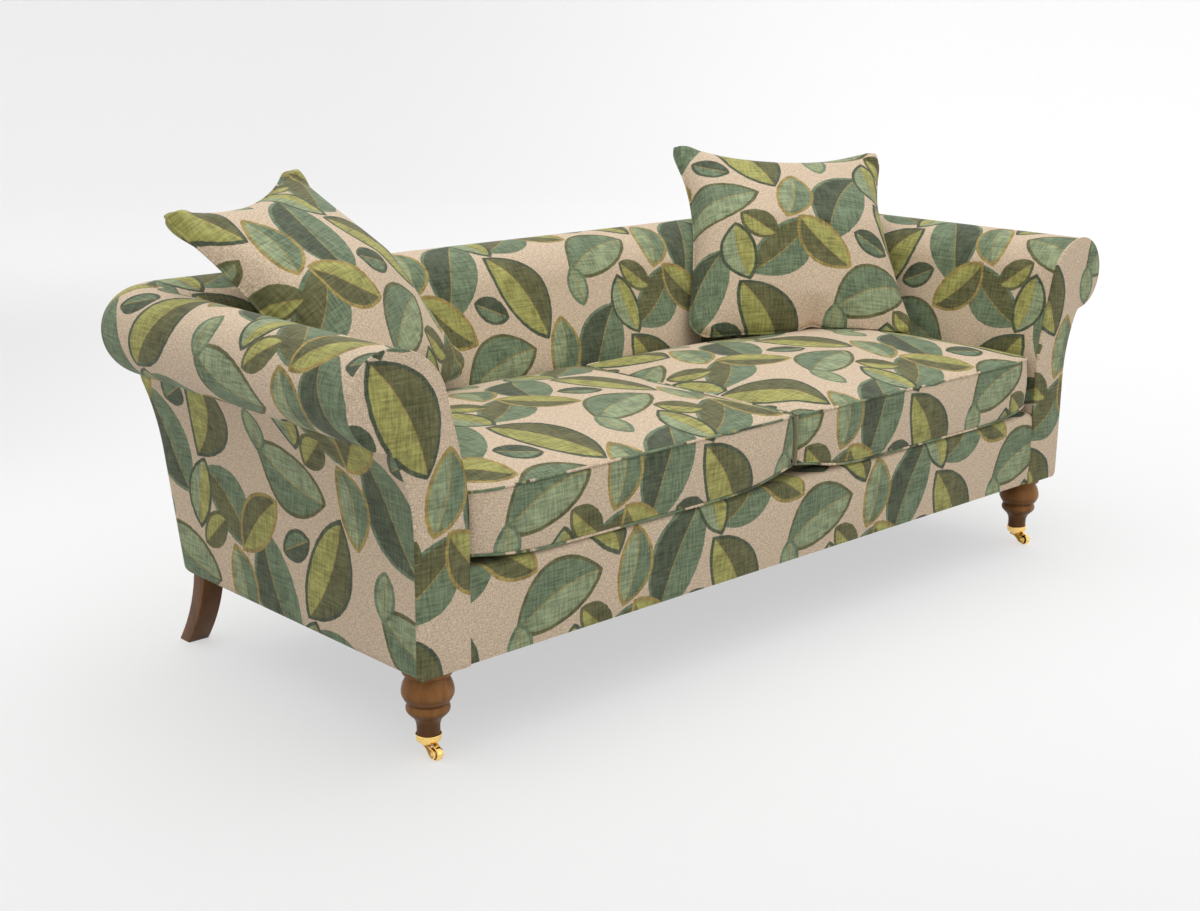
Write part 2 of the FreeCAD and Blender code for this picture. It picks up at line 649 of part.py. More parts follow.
def scatter_cushion(inset):
    """A scatter cushion lying flat at the origin: fuller in front, its sides drawn in between its corners."""
    width = SCATTER_WIDTH - 2 * inset
    tall = SCATTER_TALL - 2 * inset
    sections = []
    for share in SCATTER_STATIONS:
        fullness = 1 - share * share
        half = tall / 2 - SCATTER_TOP_DRAW * fullness
        low = vec(share * width / 2, -half, 0)
        high = vec(share * width / 2, half, 0)
        front, back = (SCATTER_EDGE + (swell - SCATTER_EDGE) * fullness ** SCATTER_TAPER - inset
                       for swell in (SCATTER_FRONT_SWELL, SCATTER_BACK_SWELL))
        sections.append(Part.Wire([bulge(low, high, vec(0, 0, front)), bulge(high, low, vec(0, 0, -back))]))
    body = Part.makeLoft(sections, True, False)
    below = vec(0, 0, -SCATTER_FRONT_SWELL)
    above = vec(0, 0, SCATTER_FRONT_SWELL)
    sweep = SCATTER_TALL ** 2 / 8 / SCATTER_SIDE_DRAW
    for side in SIDES.values():
        middle = vec(side * (width / 2 + sweep - SCATTER_SIDE_DRAW), 0, 0)
        body = body.cut(rod(sweep, middle + below, middle + above))
    reach = math.hypot(width, tall) / 2 - SCATTER_TIP
    return largest(body.common(rod(reach, below, above)))


def scatter_placement(place, turn, lean, spin):
    """Where a leaning scatter cushion's middle stands, well above the seat, and how it is turned."""
    upright = FreeCAD.Rotation(vec(1, 0, 0), 90 - lean)
    rotation = FreeCAD.Rotation(vec(0, 0, 1), turn) * upright * FreeCAD.Rotation(vec(0, 0, 1), spin)
    return FreeCAD.Placement(vec(place[0], place[1], ARM_HEIGHT + SCATTER_TALL / 2), rotation)


def settle(shape, support):
    """How far a cushion comes down until the low part of its outline lies on the cushion below."""
    outline = [point for edge in shape.Edges for point in edge.discretize(OUTLINE_POINTS)]
    lowest = min(point.z for point in outline)
    gaps = []
    for point in outline:
        if point.z > lowest + 2 * SEAT_CROWN:
            continue
        plumb = line(vec(point.x, point.y, BASE_HEIGHT), point)
        gaps.append(point.z - plumb.common(support).BoundBox.ZMax)
    return min(gaps) - REST_GAP


def cushions(parts):
    """The loose seat cushions, and the scatter cushions pressed against the arms and back."""
    cover = seat_cushion(0)
    core = seat_cushion(COVER)
    for name, side in SIDES.items():
        parts[name + "_seat_cushion_cover"] = on_side(cover.cut(core), side)
        parts[name + "_seat_cushion_core"] = on_side(core, side)
    outer = scatter_cushion(0)
    filling = scatter_cushion(SCATTER_COVER)
    skin = carcass(0)
    left_place = (LEFT_SCATTER_FROM_ARM - ARM_INNER, BACK_INNER - LEFT_SCATTER_FROM_BACK)
    right_place = (ARM_INNER - RIGHT_SCATTER_FROM_ARM, BACK_INNER - RIGHT_SCATTER_FROM_BACK)
    places = {
        "left": (left_place, LEFT_SCATTER_TURN, LEFT_SCATTER_LEAN, LEFT_SCATTER_SPIN),
        "right": (right_place, RIGHT_SCATTER_TURN, RIGHT_SCATTER_LEAN, RIGHT_SCATTER_SPIN),
    }
    for name, place in places.items():
        side = SIDES[name]
        placement = scatter_placement(*place)
        drop = settle(placed(outer, placement), on_side(cover, side))
        placement.Base = placement.Base - vec(0, 0, drop)
        away = vec(-side, -1, 1)
        whole = largest(placed(outer, placement).cut(skin.translated(away * PRESS_GAP)))
        inside = largest(placed(filling, placement).cut(skin.translated(away * (PRESS_GAP + SCATTER_COVER))))
        parts[name + "_scatter_cover"] = whole.cut(inside)
        parts[name + "_scatter_filling"] = inside


def front_leg():
    """The right front leg: turned, with a bun, a ring and a foot that stands in the castor's cup."""
    def at(radius, height):
        return vec(radius, 0, height)

    bun_low = at(LEG_WAIST_RADIUS, LEG_WAIST_HEIGHT)
    bun_out = at(LEG_BUN_RADIUS, LEG_BUN_HEIGHT)
    bun_high = at(LEG_TOP_NECK_RADIUS, LEG_COLLAR_HEIGHT)
    ring_low = at(LEG_WAIST_RADIUS - COVER, (LEG_RING_HEIGHT + LEG_SHOULDER_HEIGHT) / 2)
    ring_out = at(LEG_RING_RADIUS, LEG_RING_HEIGHT)
    shoulder = at((LEG_WAIST_RADIUS + LEG_NECK_RADIUS) / 2, LEG_SHOULDER_HEIGHT)
    neck = at(LEG_NECK_RADIUS, LEG_NECK_HEIGHT)
    foot = at(LEG_FOOT_RADIUS, CUP_RIM_HEIGHT)
    spigot = at(LEG_FOOT_RADIUS, (CUP_RIM_HEIGHT + CUP_FLOOR_HEIGHT) / 2)
    tip = at(CUP_BASE_RADIUS - COVER, CUP_FLOOR_HEIGHT)
    edges = [
        line(at(0, BASE_HEIGHT), at(LEG_COLLAR_RADIUS, BASE_HEIGHT)),
        line(at(LEG_COLLAR_RADIUS, BASE_HEIGHT), at(LEG_COLLAR_RADIUS, LEG_COLLAR_HEIGHT)),
        line(at(LEG_COLLAR_RADIUS, LEG_COLLAR_HEIGHT), bun_high),
        tangent_arc(bun_out, vec(0, 0, 1), bun_high),
        tangent_arc(bun_out, vec(0, 0, -1), bun_low),
        tangent_arc(ring_out, vec(0, 0, 1), bun_low),
        tangent_arc(ring_out, vec(0, 0, -1), ring_low),
        line(ring_low, shoulder),
        tangent_arc(neck, vec(0, 0, 1), shoulder),
        line(neck, foot),
        line(foot, spigot),
        line(spigot, tip),
        line(tip, at(0, CUP_FLOOR_HEIGHT)),
        line(at(0, CUP_FLOOR_HEIGHT), at(0, BASE_HEIGHT)),
    ]
    face = Part.Face(Part.Wire(Part.__sortEdges__(edges)))
    return face.revolve(vec(0, 0, 0), vec(0, 0, 1), 360)


def rear_leg():
    """The right rear leg: square, sweeping back towards the floor."""
    def at(y, height):
        return vec(REAR_LEG_X - REAR_LEG_WIDTH / 2, y, height)

    edges = [
        line(at(REAR_LEG_TOP_FRONT, BASE_HEIGHT), at(REAR_LEG_TOP_BACK, BASE_HEIGHT)),
        bulge(at(REAR_LEG_TOP_BACK, BASE_HEIGHT), at(REAR_LEG_FOOT_BACK, 0), vec(0, -REAR_LEG_SWEEP, 0)),
        line(at(REAR_LEG_FOOT_BACK, 0), at(REAR_LEG_FOOT_FRONT, 0)),
        bulge(at(REAR_LEG_FOOT_FRONT, 0), at(REAR_LEG_TOP_FRONT, BASE_HEIGHT), vec(0, -REAR_LEG_SWEEP, 0)),
    ]
    return Part.Face(Part.Wire(edges)).extrude(vec(REAR_LEG_WIDTH, 0, 0))


def legs(parts):
    """Two turned front legs and two swept rear legs, bored for their bolts."""
    bore = [rod(BOLT_RADIUS + FIT_GAP, vec(x, y, BASE_HEIGHT + INSERT_LENGTH - BOLT_LENGTH - FIT_GAP),
                vec(x, y, BASE_HEIGHT)) for x, y in leg_bolt_places()]
    pin = rod(PINTLE_RADIUS + FIT_GAP, vec(0, 0, CUP_FLOOR_HEIGHT), vec(0, 0, LEG_NECK_HEIGHT + FIT_GAP))
    turned = front_leg().cut(pin)
    swept = rear_leg()
    for name, side in SIDES.items():
        standing = turned.translated(vec(side * FRONT_LEG_X, FRONT_LEG_Y, 0))
        parts[name + "_front_leg"] = largest(standing.cut(bore))
        parts[name + "_rear_leg"] = largest(on_side(swept, side).cut(bore))


def castor_cup():
    """The brass cup round the foot of the leg."""
    def at(radius, height):
        return vec(radius, 0, height)

    middle = (CUP_RIM_HEIGHT + CUP_FLOOR_HEIGHT) / 2
    outline = [
        at(PINTLE_RADIUS + FIT_GAP, CUP_BASE_HEIGHT),
        at(CUP_BASE_RADIUS, CUP_BASE_HEIGHT),
        at(CUP_RIM_RADIUS, middle - CUP_WALL / 2),
        at(CUP_RIM_RADIUS, CUP_RIM_HEIGHT),
        at(LEG_FOOT_RADIUS, CUP_RIM_HEIGHT),
        at(LEG_FOOT_RADIUS, middle),
        at(CUP_BASE_RADIUS - COVER, CUP_FLOOR_HEIGHT),
        at(PINTLE_RADIUS + FIT_GAP, CUP_FLOOR_HEIGHT),
    ]
    face = Part.Face(Part.makePolygon(outline + [outline[0]]))
    return face.revolve(vec(0, 0, 0), vec(0, 0, 1), 360)


def castor_pintle():
    """The pin on which the horn swivels, with its head below the horn's bridge."""
    bridge_bottom = CUP_BASE_HEIGHT - REST_GAP - HORN_BRIDGE
    head_top = bridge_bottom - REST_GAP
    shank = rod(PINTLE_RADIUS, vec(0, 0, head_top - PINTLE_HEAD), vec(0, 0, LEG_NECK_HEIGHT))
    head = rod(PINTLE_HEAD_RADIUS, vec(0, 0, head_top - PINTLE_HEAD), vec(0, 0, head_top))
    return shank.fuse(head).removeSplitter()


def castor_horn():
    """The swivelling horn: a bridge under the cup and two cheeks that carry the axle, trailing along +X."""
    top = CUP_BASE_HEIGHT - REST_GAP
    low = top - HORN_BRIDGE
    inner = WHEEL_WIDTH / 2 + CHEEK_GAP
    outer = inner + CHEEK
    bridge = block(-HORN_BACK, HORN_FRONT, -outer, outer, low, top)
    hub = vec(CASTOR_TRAIL, 0, WHEEL_RADIUS)

    def at(x, z):
        return vec(x, inner, z)

    edges = [
        line(at(-HORN_BACK, low), at(-HORN_BACK, top)),
        line(at(-HORN_BACK, top), at(HORN_FRONT, top)),
        tangent_arc(at(hub.x, hub.z + CHEEK_RADIUS), vec(-1, 0, 0), at(HORN_FRONT, top)),
        tangent_arc(at(hub.x, hub.z + CHEEK_RADIUS), vec(1, 0, 0), at(hub.x + CHEEK_RADIUS, hub.z)),
        tangent_arc(at(hub.x + CHEEK_RADIUS, hub.z), vec(0, 0, -1), at(hub.x, hub.z - CHEEK_RADIUS)),
        tangent_arc(at(hub.x, hub.z - CHEEK_RADIUS), vec(-1, 0, 0), at(-HORN_BACK, low)),
    ]
    cheek = Part.Face(Part.Wire(Part.__sortEdges__(edges))).extrude(vec(0, CHEEK, 0))
    other = cheek.mirror(vec(0, 0, 0), vec(0, 1, 0))
    swivel_bore = rod(PINTLE_RADIUS + RUNNING_GAP, vec(0, 0, 0), vec(0, 0, ARM_HEIGHT))
    axle_bore = rod(AXLE_RADIUS, hub - vec(0, outer, 0), hub + vec(0, outer, 0))
    return bridge.fuse([cheek, other]).removeSplitter().cut([swivel_bore, axle_bore])


def castor_wheel():
    """The wheel, with a running bore for its axle and a softened tread."""
    hub = vec(CASTOR_TRAIL, 0, WHEEL_RADIUS)
    half = vec(0, WHEEL_WIDTH / 2, 0)
    wheel = rod(WHEEL_RADIUS, hub - half, hub + half)
    rims = [edge for edge in wheel.Edges if edge.Curve.TypeId == "Part::GeomCircle"]
    wheel = wheel.makeFillet(WHEEL_WIDTH / 6, rims)
    return wheel.cut(rod(AXLE_RADIUS + RUNNING_GAP, hub - half, hub + half))


def castor_axle():
    """The axle, from the outside of one cheek to the outside of the other."""
    reach = WHEEL_WIDTH / 2 + CHEEK_GAP + CHEEK
    hub = vec(CASTOR_TRAIL, 0, WHEEL_RADIUS)
    return rod(AXLE_RADIUS, hub - vec(0, reach, 0), hub + vec(0, reach, 0))


def castors(parts):
    """A castor under each front leg, both trailing the same way."""
    pieces = {
        "cup": castor_cup(),
        "pintle": castor_pintle(),
        "horn": castor_horn(),
        "wheel": castor_wheel(),
        "axle": castor_axle(),
    }
    for name, side in SIDES.items():
        for piece, solid in pieces.items():
            turned = solid.copy()
            turned.rotate(vec(0, 0, 0), vec(0, 0, 1), CASTOR_HEADING)
            parts[name + "_castor_" + piece] = turned.translated(vec(side * FRONT_LEG_X, FRONT_LEG_Y, 0))


def build():
    """Every named piece of the sofa."""
    parts = {}
    timber_frame(parts)
    suspension(parts)
    webbing(parts)
    upholstery(parts)
    front_border(parts)
    cushions(parts)
    legs(parts)
    castors(parts)
    return parts


os.makedirs("parts", exist_ok=True)
for node, shape in build().items():
    shape.exportStep("parts/" + node + ".step")
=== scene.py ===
"""A low scroll-arm sofa with seat and scatter cushions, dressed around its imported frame."""

from __future__ import annotations

import json
import logging
import math
from dataclasses import dataclass
from enum import Enum
from typing import Iterable, Sequence

import bmesh
import bpy
import numpy as np
from mathutils import Matrix, Vector
from mathutils.bvhtree import BVHTree
from mathutils.geometry import delaunay_2d_cdt

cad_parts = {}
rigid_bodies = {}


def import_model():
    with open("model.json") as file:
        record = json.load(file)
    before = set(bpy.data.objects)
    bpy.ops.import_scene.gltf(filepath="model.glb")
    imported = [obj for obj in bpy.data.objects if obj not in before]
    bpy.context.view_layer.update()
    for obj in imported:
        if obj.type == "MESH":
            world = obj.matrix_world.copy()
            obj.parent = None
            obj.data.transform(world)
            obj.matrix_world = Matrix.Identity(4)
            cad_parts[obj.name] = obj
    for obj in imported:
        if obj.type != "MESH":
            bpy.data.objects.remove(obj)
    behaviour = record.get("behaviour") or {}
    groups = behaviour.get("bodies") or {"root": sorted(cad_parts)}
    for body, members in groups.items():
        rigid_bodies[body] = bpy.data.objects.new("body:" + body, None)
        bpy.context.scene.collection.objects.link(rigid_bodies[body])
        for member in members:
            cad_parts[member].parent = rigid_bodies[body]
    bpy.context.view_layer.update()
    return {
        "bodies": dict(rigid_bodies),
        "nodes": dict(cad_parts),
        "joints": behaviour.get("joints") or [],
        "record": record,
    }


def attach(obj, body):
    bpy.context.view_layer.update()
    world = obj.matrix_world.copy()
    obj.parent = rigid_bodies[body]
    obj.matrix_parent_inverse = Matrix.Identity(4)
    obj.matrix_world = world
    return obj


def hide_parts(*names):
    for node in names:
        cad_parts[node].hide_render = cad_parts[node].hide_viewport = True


LOG = logging.getLogger("sofa")
CLOTH_MAP = "cloth"
SEAM_MAP = "seam_uv"
BODY = "sofa_body"
HALF_TURN = math.pi
EIGHTH_TURN = math.pi / 4


class Side(Enum):
    """The two ends of the sofa, seen from the front."""

    LEFT = -1
    RIGHT = 1

    @property
    def label(self) -> str:
        """The word used in the names of this side's pieces."""
        return self.name.lower()


class Slot(Enum):
    """The material slots of the record."""

    TIMBER = "timber"
    STEEL = "steel"
    FOAM = "foam"
    WEBBING = "webbing"
    LINING = "lining"
    CLOTH = "cloth"
    WALNUT = "walnut"
    BRASS = "brass"


class Ink(Enum):
    """The colours of the printed cloth, as sRGB from 0 to 255."""

    TEAL = (108, 123, 95)
    SAGE = (140, 151, 116)
    OLIVE = (98, 97, 63)
    CHARTREUSE = (157, 154, 88)
    SLATE = (76, 84, 64)
    OCHRE = (156, 136, 78)


def linear(colour: Sequence[float]) -> tuple[float, float, float, float]:
    """Turns an sRGB colour into the linear one that a shader takes.

    Args:
        colour: red, green and blue from 0 to 255.

    Returns:
        The linear colour with full alpha.
    """
    values = [c / 255 for c in colour]
    straight = [v / 12.92 if v <= 0.04045 else ((v + 0.055) / 1.055) ** 2.4 for v in values]
    return (*straight, 1.0)


def smoothstep(low: float, high: float, value: np.ndarray) -> np.ndarray:
    """Rises smoothly from 0 at low to 1 at high."""
    t = np.clip((value - low) / (high - low), 0, 1)
    return t * t * (3 - 2 * t)


def run_along(points: np.ndarray) -> np.ndarray:
    """The distance from a line's first point to each of its points."""
    return np.concatenate([[0], np.cumsum(np.linalg.norm(np.diff(points, axis=0), axis=1))])


def round_angles(count: int) -> np.ndarray:
    """Evenly spaced angles round a full turn."""
    return np.linspace(0, 2 * HALF_TURN, count, endpoint=False)


def ring_edges(count: int) -> list[tuple[int, int]]:
    """The edges that join a number of points in a ring."""
    return [(i, (i + 1) % count) for i in range(count)]


def rim_of(grid: np.ndarray) -> np.ndarray:
    """The rim of a grid as one closed loop, along its first row first."""
    return np.concatenate([grid[0, :], grid[1:, -1], grid[-1, -2::-1], grid[-2:0:-1, 0]])


def reach_to(points: np.ndarray, line: np.ndarray) -> np.ndarray:
    """The distance from each point to the nearest point of a line."""
    return np.linalg.norm(points[:, None] - line[None], axis=2).min(axis=1)


class Wire:
    """A node's output that takes part in Python expressions."""

    def __init__(self, recipe: "Recipe", socket: bpy.types.NodeSocket) -> None:
        """Keeps the recipe that the expression adds its nodes to."""
        self.recipe = recipe
        self.socket = socket

    def math(self, operation: str, *others: "Wire | float", first: bool = True) -> "Wire":
        """Adds a Math node.

        Args:
            operation: the Math node's operation.
            others: the other operands.
            first: whether this value is the first operand.

        Returns:
            The node's output.
        """
        operands = [self, *others] if first else [*others, self]
        return self.recipe.add("ShaderNodeMath", {"operation": operation}, dict(enumerate(operands)))

    def __add__(self, other: "Wire | float") -> "Wire":
        """Sum."""
        return self.math("ADD", other)

    def __radd__(self, other: float) -> "Wire":
        """Sum with a number in front."""
        return self.math("ADD", other, first=False)

    def __sub__(self, other: "Wire | float") -> "Wire":
        """Difference."""
        return self.math("SUBTRACT", other)

    def __rsub__(self, other: float) -> "Wire":
        """Difference from a number."""
        return self.math("SUBTRACT", other, first=False)

    def __mul__(self, other: "Wire | float") -> "Wire":
        """Product."""
        return self.math("MULTIPLY", other)

    def __rmul__(self, other: float) -> "Wire":
        """Product with a number in front."""
        return self.math("MULTIPLY", other, first=False)

    def __abs__(self) -> "Wire":
        """Size without sign."""
        return self.math("ABSOLUTE")

    def wrap(self, span: float) -> "Wire":
        """Folds the value into one repeat, centred on zero."""
        return self.math("WRAP", span / 2, -span / 2)

    def step(self, softness: float) -> "Wire":
        """Rises from 0 to 1 as the value passes zero, over the softness."""
        sockets = {"Value": self, "From Min": -softness / 2, "From Max": softness / 2}
        return self.recipe.add("ShaderNodeMapRange", {"clamp": True}, sockets)


class Recipe:
    """Writes the node tree of one material."""

    def __init__(self, name: str) -> None:
        """Starts a material with an empty shader.

        Args:
            name: the material's name.
        """
        self.material = bpy.data.materials.new(name)
        self.material.use_nodes = True
        self.tree = self.material.node_tree
        self.tree.nodes.clear()
        self.shader = self.tree.nodes.new("ShaderNodeBsdfPrincipled")
        output = self.tree.nodes.new("ShaderNodeOutputMaterial")
        self.tree.links.new(self.shader.outputs[0], output.inputs["Surface"])

    def feed(self, socket: bpy.types.NodeSocket, value: object) -> None:
        """Links a wire to a socket, or sets the socket's own value.

        Args:
            socket: the socket.
            value: the wire or the value.
        """
        if isinstance(value, Wire):
            self.tree.links.new(value.socket, socket)
        else:
            socket.default_value = value

    def add(
        self,
        kind: str,
        settings: dict | None = None,
        sockets: dict | None = None,
        output: int | str = 0,
    ) -> Wire:
        """Adds any node.

        Args:
            kind: the node's type.
            settings: properties that are set first; "stops" are a ramp's positions and colours.
            sockets: values or wires of its inputs, by name or number.
            output: the output that the wire takes.

        Returns:
            The wire of that output.
        """
        node = self.tree.nodes.new(kind)
        for key, value in (settings or {}).items():
            if key == "stops":
                self.set_stops(node.color_ramp, value)
            else:
                setattr(node, key, value)
        for key, value in (sockets or {}).items():
            self.feed(node.inputs[key], value)
        return Wire(self, node.outputs[output])

    @staticmethod
    def set_stops(ramp: bpy.types.ColorRamp, stops: Sequence[tuple[float, tuple]]) -> None:
        """Gives a ramp its positions and colours.

        Args:
            ramp: the ramp.
            stops: a position and a colour for each stop.
        """
        while len(ramp.elements) < len(stops):
            ramp.elements.new(1.0)
        for element, (position, colour) in zip(ramp.elements, stops):
            element.position = position
            element.color = colour

    def mix(self, factor: Wire | float, a: object, b: object, blend: str = "MIX") -> Wire:
        """Mixes two colours."""
        settings = {"data_type": "RGBA", "blend_type": blend, "clamp_factor": True}
        return self.add("ShaderNodeMix", settings, {0: factor, 6: a, 7: b}, 2)

    def noise(self, vector: Wire, scale: float, detail: float = 2.0, roughness: float = 0.5) -> Wire:
        """A noise value from 0 to 1 over a vector."""
        sockets = {"Vector": vector, "Scale": scale, "Detail": detail, "Roughness": roughness}
        return self.add("ShaderNodeTexNoise", {"noise_dimensions": "3D"}, sockets)

    def stretch(self, vector: Wire, scale: Sequence[float]) -> Wire:
        """A vector with each part scaled on its own."""
        return self.add("ShaderNodeVectorMath", {"operation": "MULTIPLY"}, {0: vector, 1: tuple(scale)})

    def grey(self, value: Wire) -> Wire:
        """One value as an even colour."""
        return self.add("ShaderNodeCombineXYZ", None, {0: value, 1: value, 2: value})

    def place(self) -> Wire:
        """The piece's own Object coordinates."""
        return self.add("ShaderNodeTexCoord", output="Object")

    def cloth_map(self) -> Wire:
        """The piece's own map."""
        return self.add("ShaderNodeUVMap", {"uv_map": CLOTH_MAP})

    def parts(self, vector: Wire) -> tuple[Wire, Wire]:
        """The first two parts of a vector."""
        node = self.tree.nodes.new("ShaderNodeSeparateXYZ")
        self.feed(node.inputs[0], vector)
        return Wire(self, node.outputs[0]), Wire(self, node.outputs[1])

    def age_and_shade(self) -> Wire:
        """What the piece's own map gives each point: painted shade on walnut pieces, age on brass ones."""
        return self.parts(self.cloth_map())[1]

    def bump(self, height: Wire, strength: float, distance: float) -> None:
        """Feeds a height through a Bump node to the shader's normal."""
        sockets = {"Height": height, "Strength": strength, "Distance": distance}
        self.feed(self.shader.inputs["Normal"], self.add("ShaderNodeBump", None, sockets))

    def shade(self, **sockets: object) -> bpy.types.Material:
        """Sets sockets of the shader, named with underscores for spaces.

        Args:
            sockets: values or wires.

        Returns:
            The finished material.
        """
        for key, value in sockets.items():
            self.feed(self.shader.inputs[key.replace("_", " ")], value)
        return self.material


@dataclass(frozen=True)
class Leaf:
    """One printed leaf: its place in the repeat, its size in metres, its turn in degrees and its inks."""

    x: float
    y: float
    length: float
    width: float
    turn: float
    bend: float
    blade: Ink
    half: Ink
    rim: Ink


@dataclass(frozen=True)
class Linen:
    """The bare linen's texture over the cloth: its threads, its flecks and a dry brush's streaks."""

    weave: Wire
    fleck: Wire
    brushed: Wire


@dataclass(frozen=True)
class LeafPrintCloth:
    """Printed linen: a half-drop repeat of two-tone leaves, dry-brushed on an oatmeal ground."""

    repeat_width: float = 0.36
    repeat_height: float = 0.46
    edge_softness: float = 0.0016
    edge_wander: float = 0.0035
    rim_width: float = 0.0075
    rib_width: float = 0.0022
    fullness: float = 0.003
    wander_scale: float = 60.0
    streak: tuple[float, float] = (22.0, 210.0)
    streak_grit: float = 0.62
    thread: tuple[float, float] = (80.0, 560.0)
    thread_grit: float = 0.7
    patch_scale: float = 24.0
    fleck_scale: float = 320.0
    ground_dark: tuple[int, int, int] = (181, 158, 133)
    ground_light: tuple[int, int, int] = (232, 211, 184)
    chalk: tuple[int, int, int] = (178, 181, 144)
    leaves: tuple[Leaf, ...] = (
        Leaf(0.070, 0.330, 0.240, 0.128, 62, 1.2, Ink.TEAL, Ink.SLATE, Ink.TEAL),
        Leaf(0.245, 0.255, 0.230, 0.122, 118, -1.4, Ink.OLIVE, Ink.CHARTREUSE, Ink.SLATE),
        Leaf(0.130, 0.105, 0.215, 0.118, 20, 1.6, Ink.SAGE, Ink.TEAL, Ink.OLIVE),
        Leaf(0.285, 0.420, 0.195, 0.106, 40, -1.5, Ink.TEAL, Ink.OLIVE, Ink.TEAL),
        Leaf(0.015, 0.205, 0.165, 0.092, 135, 1.5, Ink.CHARTREUSE, Ink.OLIVE, Ink.OCHRE),
        Leaf(0.175, 0.420, 0.140, 0.078, 100, 2.0, Ink.CHARTREUSE, Ink.SAGE, Ink.SLATE),
        Leaf(0.325, 0.110, 0.150, 0.084, 75, -2.0, Ink.TEAL, Ink.SAGE, Ink.OCHRE),
        Leaf(0.142, 0.222, 0.090, 0.056, 155, 0.0, Ink.SLATE, Ink.TEAL, Ink.SLATE),
        Leaf(0.228, 0.026, 0.100, 0.062, 140, 0.0, Ink.OLIVE, Ink.CHARTREUSE, Ink.OLIVE),
        Leaf(0.045, 0.020, 0.090, 0.054, 95, 0.0, Ink.SAGE, Ink.SAGE, Ink.TEAL),
    )

    @staticmethod
    def spread(value: Wire, low: float, high: float, start: float, end: float) -> Wire:
        """Maps a value's range from low and high to start and end."""
        sockets = {"Value": value, "From Min": low, "From Max": high, "To Min": start, "To Max": end}
        return value.recipe.add("ShaderNodeMapRange", {"clamp": True}, sockets)

    def blade_field(self, leaf: Leaf, u: Wire, v: Wire, wander: Wire) -> tuple[Wire, Wire]:
        """Works out one leaf of the repeat.

        Args:
            leaf: the leaf.
            u: cloth coordinate along the weft, in metres.
            v: cloth coordinate along the warp, in metres.
            wander: the small unevenness of a printed edge, in metres.

        Returns:
            The distance inside the leaf's edge, and the distance from its midrib.
        """
        from_centre = u - leaf.x
        across = from_centre.wrap(self.repeat_width)
        drop = (from_centre - across) * (self.repeat_height / (2 * self.repeat_width))
        along = (v - leaf.y - drop).wrap(self.repeat_height)
        cosine = math.cos(math.radians(leaf.turn))
        sine = math.sin(math.radians(leaf.turn))
        run = across * cosine + along * sine
        off = along * cosine - across * sine + run * run * leaf.bend
        half_length = leaf.length / 2
        half_width = leaf.width / 2
        radius = (half_length ** 2 + half_width ** 2) / (2 * half_width)
        reach = abs(off) + (radius - half_width)
        inside = radius - (run * run + reach * reach).math("SQRT") + wander
        return inside, off

    @staticmethod
    def drawn_out(cloth: Wire, stretch: tuple[float, float], grit: float) -> tuple[Wire, Wire]:
        """Noise drawn out along the weft, and along the warp.

        Args:
            cloth: the cloth coordinates.
            stretch: its scale along and across the threads.
            grit: its roughness.

        Returns:
            Both noises.
        """
        recipe = cloth.recipe
        along, across = stretch
        weft = recipe.noise(recipe.stretch(cloth, (along, across, 1.0)), 1.0, 3.0, grit)
        warp = recipe.noise(recipe.stretch(cloth, (across, along, 1.0)), 1.0, 3.0, grit)
        return weft, warp

    def linen(self, cloth: Wire) -> Linen:
        """The texture of the linen and of the brush.

        Args:
            cloth: the cloth coordinates.

        Returns:
            The texture's values.
        """
        weft, warp = self.drawn_out(cloth, self.streak, self.streak_grit)
        patches = cloth.recipe.noise(cloth, self.patch_scale, 4.0, 0.65)
        threads, crossing = self.drawn_out(cloth, self.thread, self.thread_grit)
        fleck = cloth.recipe.noise(cloth, self.fleck_scale, 3.0, 0.8)
        return Linen((threads + crossing) * 0.5, fleck, weft * 0.36 + warp * 0.36 + patches * 0.28)

    def blade_colour(self, leaf: Leaf, inside: Wire, off: Wire) -> Wire:
        """The inks of one leaf.

        Args:
            leaf: the leaf.
            inside: the distance inside its edge.
            off: the distance from its midrib.

        Returns:
            The two halves' colours with the midrib and the rim over them.
        """
        recipe = inside.recipe
        soft = self.edge_softness
        blade = recipe.mix(off.step(soft), linear(leaf.blade.value), linear(leaf.half.value))
        rib = (self.rib_width / 2 - abs(off)).step(soft)
        blade = recipe.mix(rib, blade, linear(Ink.OCHRE.value))
        rim = (self.rim_width - inside).step(soft)
        return recipe.mix(rim, blade, linear(leaf.rim.value))

    def print_leaves(self, cloth: Wire, ground: Wire) -> tuple[Wire, Wire]:
        """Prints the repeat on the bare cloth.

        Args:
            cloth: the cloth coordinates.
            ground: the bare cloth's colour.

        Returns:
            The printed colour, and where there is ink.
        """
        recipe = cloth.recipe
        u, v = recipe.parts(cloth)
        wander = (recipe.noise(cloth, self.wander_scale) - 0.5) * self.edge_wander + self.fullness
        colour = ground
        masks = []
        for leaf in self.leaves:
            inside, off = self.blade_field(leaf, u, v, wander)
            mask = inside.step(self.edge_softness)
            colour = recipe.mix(mask, colour, self.blade_colour(leaf, inside, off))
            masks.append(mask)
        printed = masks[0]
        for mask in masks[1:]:
            printed = printed.math("MAXIMUM", mask)
        return colour, printed

